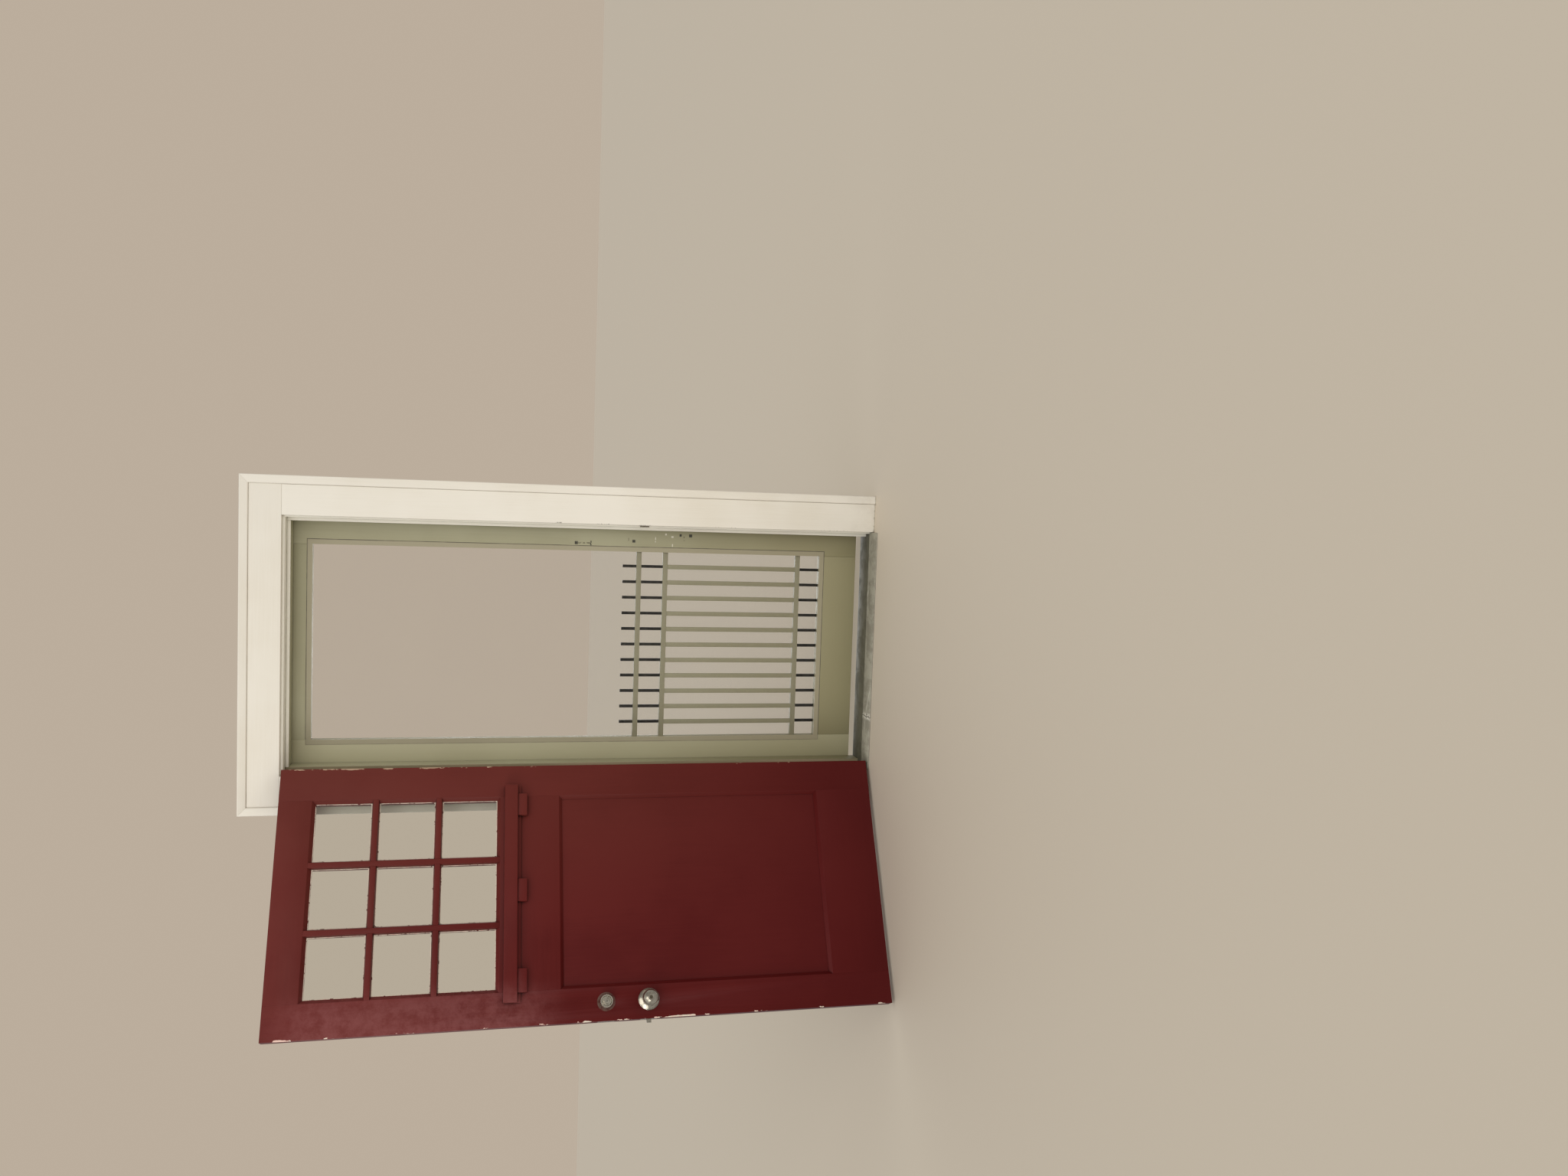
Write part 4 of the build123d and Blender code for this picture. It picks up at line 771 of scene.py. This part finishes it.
# what each node of the frame wears, and how far its edges are rounded in metres (0 keeps the node's own mesh)
dressing = {
    "redUpright": {"hinge_stile": 0.0007, "latch_stile": 0.0007, "muntin_uprights": 0.0009},
    "redLevel": {"top_rail": 0.0005, "lock_rail": 0.0005, "bottom_rail": 0.0005, "muntin_crossbars": 0.0009,
                 "door_shelf": 0.0012, "shelf_dentils": 0.0014, "glazing_beads": 0.0},
    "redPanel": {"door_panel": 0.0},
    "whiteUpright": {"hinge_casing": 0.0006, "hinge_back_band": 0.0006, "strike_back_band": 0.0006},
    "whiteScuffed": {"strike_casing": 0.0003},
    "whiteLevel": {"head_casing": 0.0003, "head_back_band": 0.0006},
    "jambUpright": {"strike_jamb": 0.0010},
    "jambHinge": {"hinge_jamb": 0.0010},
    "jambLevel": {"head_jamb": 0.0010},
    "stopHinge": {"hinge_stop": 0.0014},
    "stopUpright": {"strike_stop": 0.0014},
    "stopLevel": {"head_stop": 0.0014},
    "greenUpright": {"screen_hinge_stile": 0.0012},
    "greenLatch": {"screen_latch_stile": 0.0012},
    "greenLevel": {"screen_top_rail": 0.0012, "screen_bottom_rail": 0.0012},
    "guardUpright": {"guard_slats": 0.0006},
    "guardLevel": {"guard_bars": 0.0012},
    "beads": {"screen_beads": 0.0},
    "sill": {"sill": 0.0015},
    "strip": {"threshold_strip": 0.0020},
    "blackRod": {"guard_rods": 0.0006},
    "satinNickel": {name: 0.0 for name in (
        "latch_strike", "deadbolt_strike", "latch_case", "deadbolt_case", "outer_rose", "inner_rose",
        "deadbolt_collar", "turn_plate", "outer_knob", "inner_knob", "knob_spindle", "latch_bolt",
        "deadbolt_bolt", "deadbolt_plug", "thumb_turn", "lock_button")},
    "oldBrass": {"knob_key_plug": 0.0},
    "paintedHinge": {name: 0.0 for name in (
        "entry_hinge_jamb_plates", "entry_hinge_door_plates", "screen_hinge_jamb_plates",
        "screen_hinge_door_plates", "hinge_pins", "jamb_screws", "leaf_screws", "screen_screws")},
    "glass": {"glass_panes": 0.0},
    "cloth": {"screen_cloth": 0.0},
}
bodyOf = {node: body for body, members in frame["record"]["behaviour"]["bodies"].items() for node in members}


def wear(piece, material):
    piece.data.materials.clear()
    piece.data.materials.append(materials[material])


softening = {"merge": 1e-6, "flat": math.radians(1), "sharp": math.radians(25), "segments": 2}


def softened(name, width):
    # a merged copy of the node's mesh with its edges rounded
    mesh = nodes[name].data.copy()
    shape = bmesh.new()
    shape.from_mesh(mesh)
    bmesh.ops.remove_doubles(shape, verts=shape.verts, dist=softening["merge"])
    bmesh.ops.dissolve_limit(shape, angle_limit=softening["flat"], verts=shape.verts, edges=shape.edges)
    shape.to_mesh(mesh)
    shape.free()
    mesh.name = name + ".soft"
    piece = bpy.data.objects.new(name + ".soft", mesh)
    bpy.context.scene.collection.objects.link(piece)
    bevel = piece.modifiers.new("bevel", "BEVEL")
    bevel.width, bevel.segments = width, softening["segments"]
    bevel.limit_method, bevel.angle_limit = "ANGLE", softening["sharp"]
    bevel.harden_normals = True
    mesh.shade_smooth()
    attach(piece, bodyOf[name])
    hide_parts(name)
    return piece


for material, members in dressing.items():
    for name, width in members.items():
        piece = softened(name, width) if width else nodes[name]
        wear(piece, material)
print("nodes dressed")


# new pieces

surface = {"merge": 1e-7}


def addSurface(name, points, body, material, closed=(False, False)):
    # a grid of points u by v by 3, joined into quads, wrapped where closed
    rows, columns = points.shape[:2]
    lastRow = rows if closed[0] else rows - 1
    lastColumn = columns if closed[1] else columns - 1
    u, v = np.meshgrid(np.arange(lastRow), np.arange(lastColumn), indexing="ij")
    u, v = u.ravel(), v.ravel()
    nextU, nextV = (u + 1) % rows, (v + 1) % columns
    quads = np.stack([u * columns + v, nextU * columns + v, nextU * columns + nextV, u * columns + nextV], 1)
    mesh = bpy.data.meshes.new(name)
    mesh.from_pydata(points.reshape(-1, 3).tolist(), [], quads.tolist())
    shape = bmesh.new()
    shape.from_mesh(mesh)
    bmesh.ops.remove_doubles(shape, verts=shape.verts, dist=surface["merge"])
    bmesh.ops.recalc_face_normals(shape, faces=shape.faces)
    shape.to_mesh(mesh)
    shape.free()
    mesh.shade_smooth()
    piece = bpy.data.objects.new(name, mesh)
    bpy.context.scene.collection.objects.link(piece)
    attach(piece, body)
    wear(piece, material)
    return piece


rim = {  # metres, then the points along a side, round a corner and across, and the sines of the wandering
    "cover": 0.0065, "width": 0.0022, "swell": 0.0009, "corner": 0.0045, "rise": 0.0005,
    "steps": 26, "cornerSteps": 7, "across": 5, "sines": (3, 7, 13, 22, 31), "calm": 2.6, "seed": 5,
    "amplitude": (0.2, 1.0), "phase": (0, 6.28), "lift": 0.12, "rounding": 3, "grid": 4,
}


def rimOutline(halfWidth, halfHeight):
    # two lines of as many points round a pane, one with rounded and one with square corners
    corner = rim["corner"]
    angle = np.linspace(0, math.pi / 2, rim["cornerSteps"])
    arc = np.stack([np.cos(angle), np.sin(angle)], 1)
    square = arc / np.abs(arc).max(1, keepdims=True)
    edge = np.linspace(0, 1, rim["steps"])[1:-1, None]
    rounded, outside = [], []
    for turnBy in range(4):
        c, s = (1, 0, -1, 0)[turnBy], (0, 1, 0, -1)[turnBy]
        spin = np.array([[c, s], [-s, c]])
        wide, tall = (halfWidth, halfHeight) if turnBy % 2 == 0 else (halfHeight, halfWidth)
        middle = np.array([wide - corner, tall - corner])
        start, end = np.array([wide, -(tall - corner)]), np.array([wide, tall - corner])
        run = start + (end - start) * edge
        rounded.append(np.concatenate([run, middle + corner * arc]) @ spin)
        outside.append(np.concatenate([run, middle + corner * square]) @ spin)
    return np.concatenate(rounded), np.concatenate(outside)


def paneRims():
    # ribbon round each pane: its outer line runs on the sight edge, its inner one, with rounded corners, lies
    # width + swell * sum(a sin(k t + p)) further in, and it is rise * sin(pi (0.12 + 0.88 s)) high across
    panes = np.empty(len(nodes["glass_panes"].data.vertices) * 3)
    nodes["glass_panes"].data.vertices.foreach_get("co", panes)
    turn, back = np.array(shut), np.array(swungOpen)
    local = panes.reshape(-1, 3) @ turn[:3, :3].T + turn[:3, 3]
    columns = np.unique(np.round(local[:, 0], rim["grid"])).reshape(-1, 2)
    rows = np.unique(np.round(local[:, 2], rim["grid"])).reshape(-1, 2)
    outer = local[:, 1].max()
    chance = np.random.default_rng(rim["seed"])
    share = np.linspace(0, 1, rim["across"])[None, :, None]
    grids = []
    for left, right in columns:
        for low, high in rows:
            inner, outside = rimOutline((right - left) / 2 - rim["cover"], (high - low) / 2 - rim["cover"])
            around = np.linspace(0, 2 * math.pi, len(inner), endpoint=False)
            waves = sum(chance.uniform(*rim["amplitude"]) * np.sin(k * around + chance.uniform(*rim["phase"]))
                        for k in rim["sines"]) / rim["calm"]
            inset = rim["width"] + rim["swell"] * waves
            length = np.linalg.norm(inner, axis=1, keepdims=True)
            pull = np.sign(inner) * np.minimum(np.abs(inner / length) * rim["rounding"], 1.0)
            inner = inner - pull * inset[:, None]
            flat = outside[:, None] * (1 - share) + inner[:, None] * share
            bulge = np.sin(math.pi * (rim["lift"] + (1 - rim["lift"]) * share[..., 0]))
            height = outer + rim["rise"] * bulge * np.ones((len(inner), 1))
            across, up = flat[..., 0] + (left + right) / 2, flat[..., 1] + (low + high) / 2
            grids.append(np.stack([across, height, up], 2) @ back[:3, :3].T + back[:3, 3])
    return grids


for number, grid in enumerate(paneRims()):
    addSurface("paneRim." + str(number + 1), grid, "entry_door", "rim", (True, False))
print("pane rims built")


# stage, light and camera

floor = {"size": 24.0, "colour": (0.79, 0.70, 0.57, 1), "roughness": 0.6}


def addFloor():
    half = floor["size"] / 2
    mesh = bpy.data.meshes.new("floor")
    corners = [(-half, -half, 0.0), (half, -half, 0.0), (half, half, 0.0), (-half, half, 0.0)]
    mesh.from_pydata(corners, [], [(0, 1, 2, 3)])
    piece = bpy.data.objects.new("floor", mesh)
    bpy.context.scene.collection.objects.link(piece)
    made, tree, shader = startMaterial("paleFloor")
    shader.inputs["Base Color"].default_value = floor["colour"]
    shader.inputs["Roughness"].default_value = floor["roughness"]
    piece.data.materials.append(made)
    piece.visible_glossy = False


addFloor()

studio = {"backdrop": (0.50, 0.42, 0.335, 1), "light": (1.0, 0.98, 0.95, 1),
          "strength": 0.57, "mirrored": 0.36}


def addStudio():
    # a plain backdrop for the eye, straight on or through glass, and a dimmer soft light for all else
    world = bpy.data.worlds.new("studio")
    bpy.context.scene.world = world
    world.use_nodes = True
    tree = world.node_tree
    lit = tree.nodes["Background"]
    lit.inputs["Color"].default_value = studio["light"]
    lit.inputs["Strength"].default_value = studio["strength"]
    seen = put(tree, "Background", {"Color": studio["backdrop"], "Strength": 1.0})
    path = put(tree, "LightPath").outputs
    straight = calc(tree, "MAXIMUM", path["Is Camera Ray"], path["Is Transmission Ray"])
    dim = put(tree, "Background", {"Color": studio["light"], "Strength": studio["mirrored"]})
    soft = put(tree, "MixShader", {0: path["Is Glossy Ray"], 1: lit.outputs[0], 2: dim.outputs[0]}).outputs[0]
    mixed = put(tree, "MixShader", {0: straight, 1: soft, 2: seen.outputs[0]}).outputs[0]
    tree.links.new(mixed, tree.nodes["World Output"].inputs["Surface"])
    bpy.context.scene.view_settings.view_transform = "Standard"


addStudio()

lamps = {  # kind, place, aimed at, width in metres or, for the sun, in radians, strength, colour, seen by
    "key": ("SUN", (1.5, -4.0, 3.0), (0.0, 0.0, 1.0), 0.9, 0.85, (1.0, 0.98, 0.94), ("diffuse", "floor")),
    "fill": ("AREA", (-3.0, -3.3, 2.4), (-0.1, 0.0, 1.1), 2.6, 50.0, (1.0, 0.98, 0.95),
             ("diffuse", "glossy")),
    "bounce": ("AREA", (0.8, -1.6, 0.06), (0.6, -1.3, 2.0), 1.5, 13.0, (1.0, 0.99, 0.97), ("diffuse",)),
    "ceiling": ("AREA", (-0.9, -2.4, 4.6), (-1.0, -0.4, 0.9), 3.6, 45.0, (1.0, 0.97, 0.91), ("glossy",)),
    "sheen": ("AREA", (1.08, -4.28, 1.86), (-1.1, -0.4, 1.6), 0.4, 11.0, (1.0, 0.98, 0.95), ("glossy",)),
    "outdoors": ("AREA", (0.0, 3.4, 1.3), (0.0, 0.0, 1.7), 2.2, 42.0, (1.0, 1.0, 0.98),
                 ("diffuse", "glossy")),
}


def addLamps():
    # every lamp but the sun leaves the floor out, so that it stays even; none shines back from the panes
    apart = {}
    for kept, members in {"sun": ("glass_panes",), "lamp": ("glass_panes", "floor")}.items():
        apart[kept] = bpy.data.collections.new(kept + "Apart")
        for count, member in enumerate(members):
            apart[kept].objects.link(bpy.data.objects[member])
            apart[kept].collection_objects[count].light_linking.link_state = "EXCLUDE"
    for name, (kind, place, target, width, strength, tint, seenBy) in lamps.items():
        lamp = bpy.data.lights.new(name, kind)
        lamp.energy, lamp.color = strength, tint
        if kind == "SUN":
            lamp.angle = width
        else:
            lamp.shape, lamp.size = "DISK", width
        holder = bpy.data.objects.new(name, lamp)
        holder.location = place
        holder.rotation_euler = (Vector(target) - Vector(place)).to_track_quat("-Z", "Y").to_euler()
        holder.visible_camera = holder.visible_transmission = False
        holder.visible_diffuse, holder.visible_glossy = "diffuse" in seenBy, "glossy" in seenBy
        holder.light_linking.receiver_collection = apart["sun" if "floor" in seenBy else "lamp"]
        bpy.context.scene.collection.objects.link(holder)


addLamps()

view = {"place": (0.51136, -4.43642, 1.41638), "yaw": -0.06448, "pitch": 0.23938, "roll": -0.01826,
        "lens": 28.72}


def addCamera():
    # the picture lies on its side: its right edge is the floor and its top is the right of the doorway
    yaw, pitch, roll = view["yaw"], view["pitch"], view["roll"]
    ahead = Vector((math.sin(yaw) * math.cos(pitch), math.cos(yaw) * math.cos(pitch), -math.sin(pitch)))
    level = Vector((math.cos(yaw), -math.sin(yaw), 0))
    below = ahead.cross(level)
    right = level * math.cos(roll) + below * math.sin(roll)
    down = -level * math.sin(roll) + below * math.cos(roll)
    lens = bpy.data.cameras.new("camera")
    lens.sensor_width, lens.lens = 36.0, view["lens"]
    camera = bpy.data.objects.new("camera", lens)
    turn = Matrix((down, right, -ahead)).transposed().to_4x4()
    camera.matrix_world = Matrix.Translation(view["place"]) @ turn
    bpy.context.scene.collection.objects.link(camera)
    bpy.context.scene.camera = camera


addCamera()
print("stage, light and camera set")
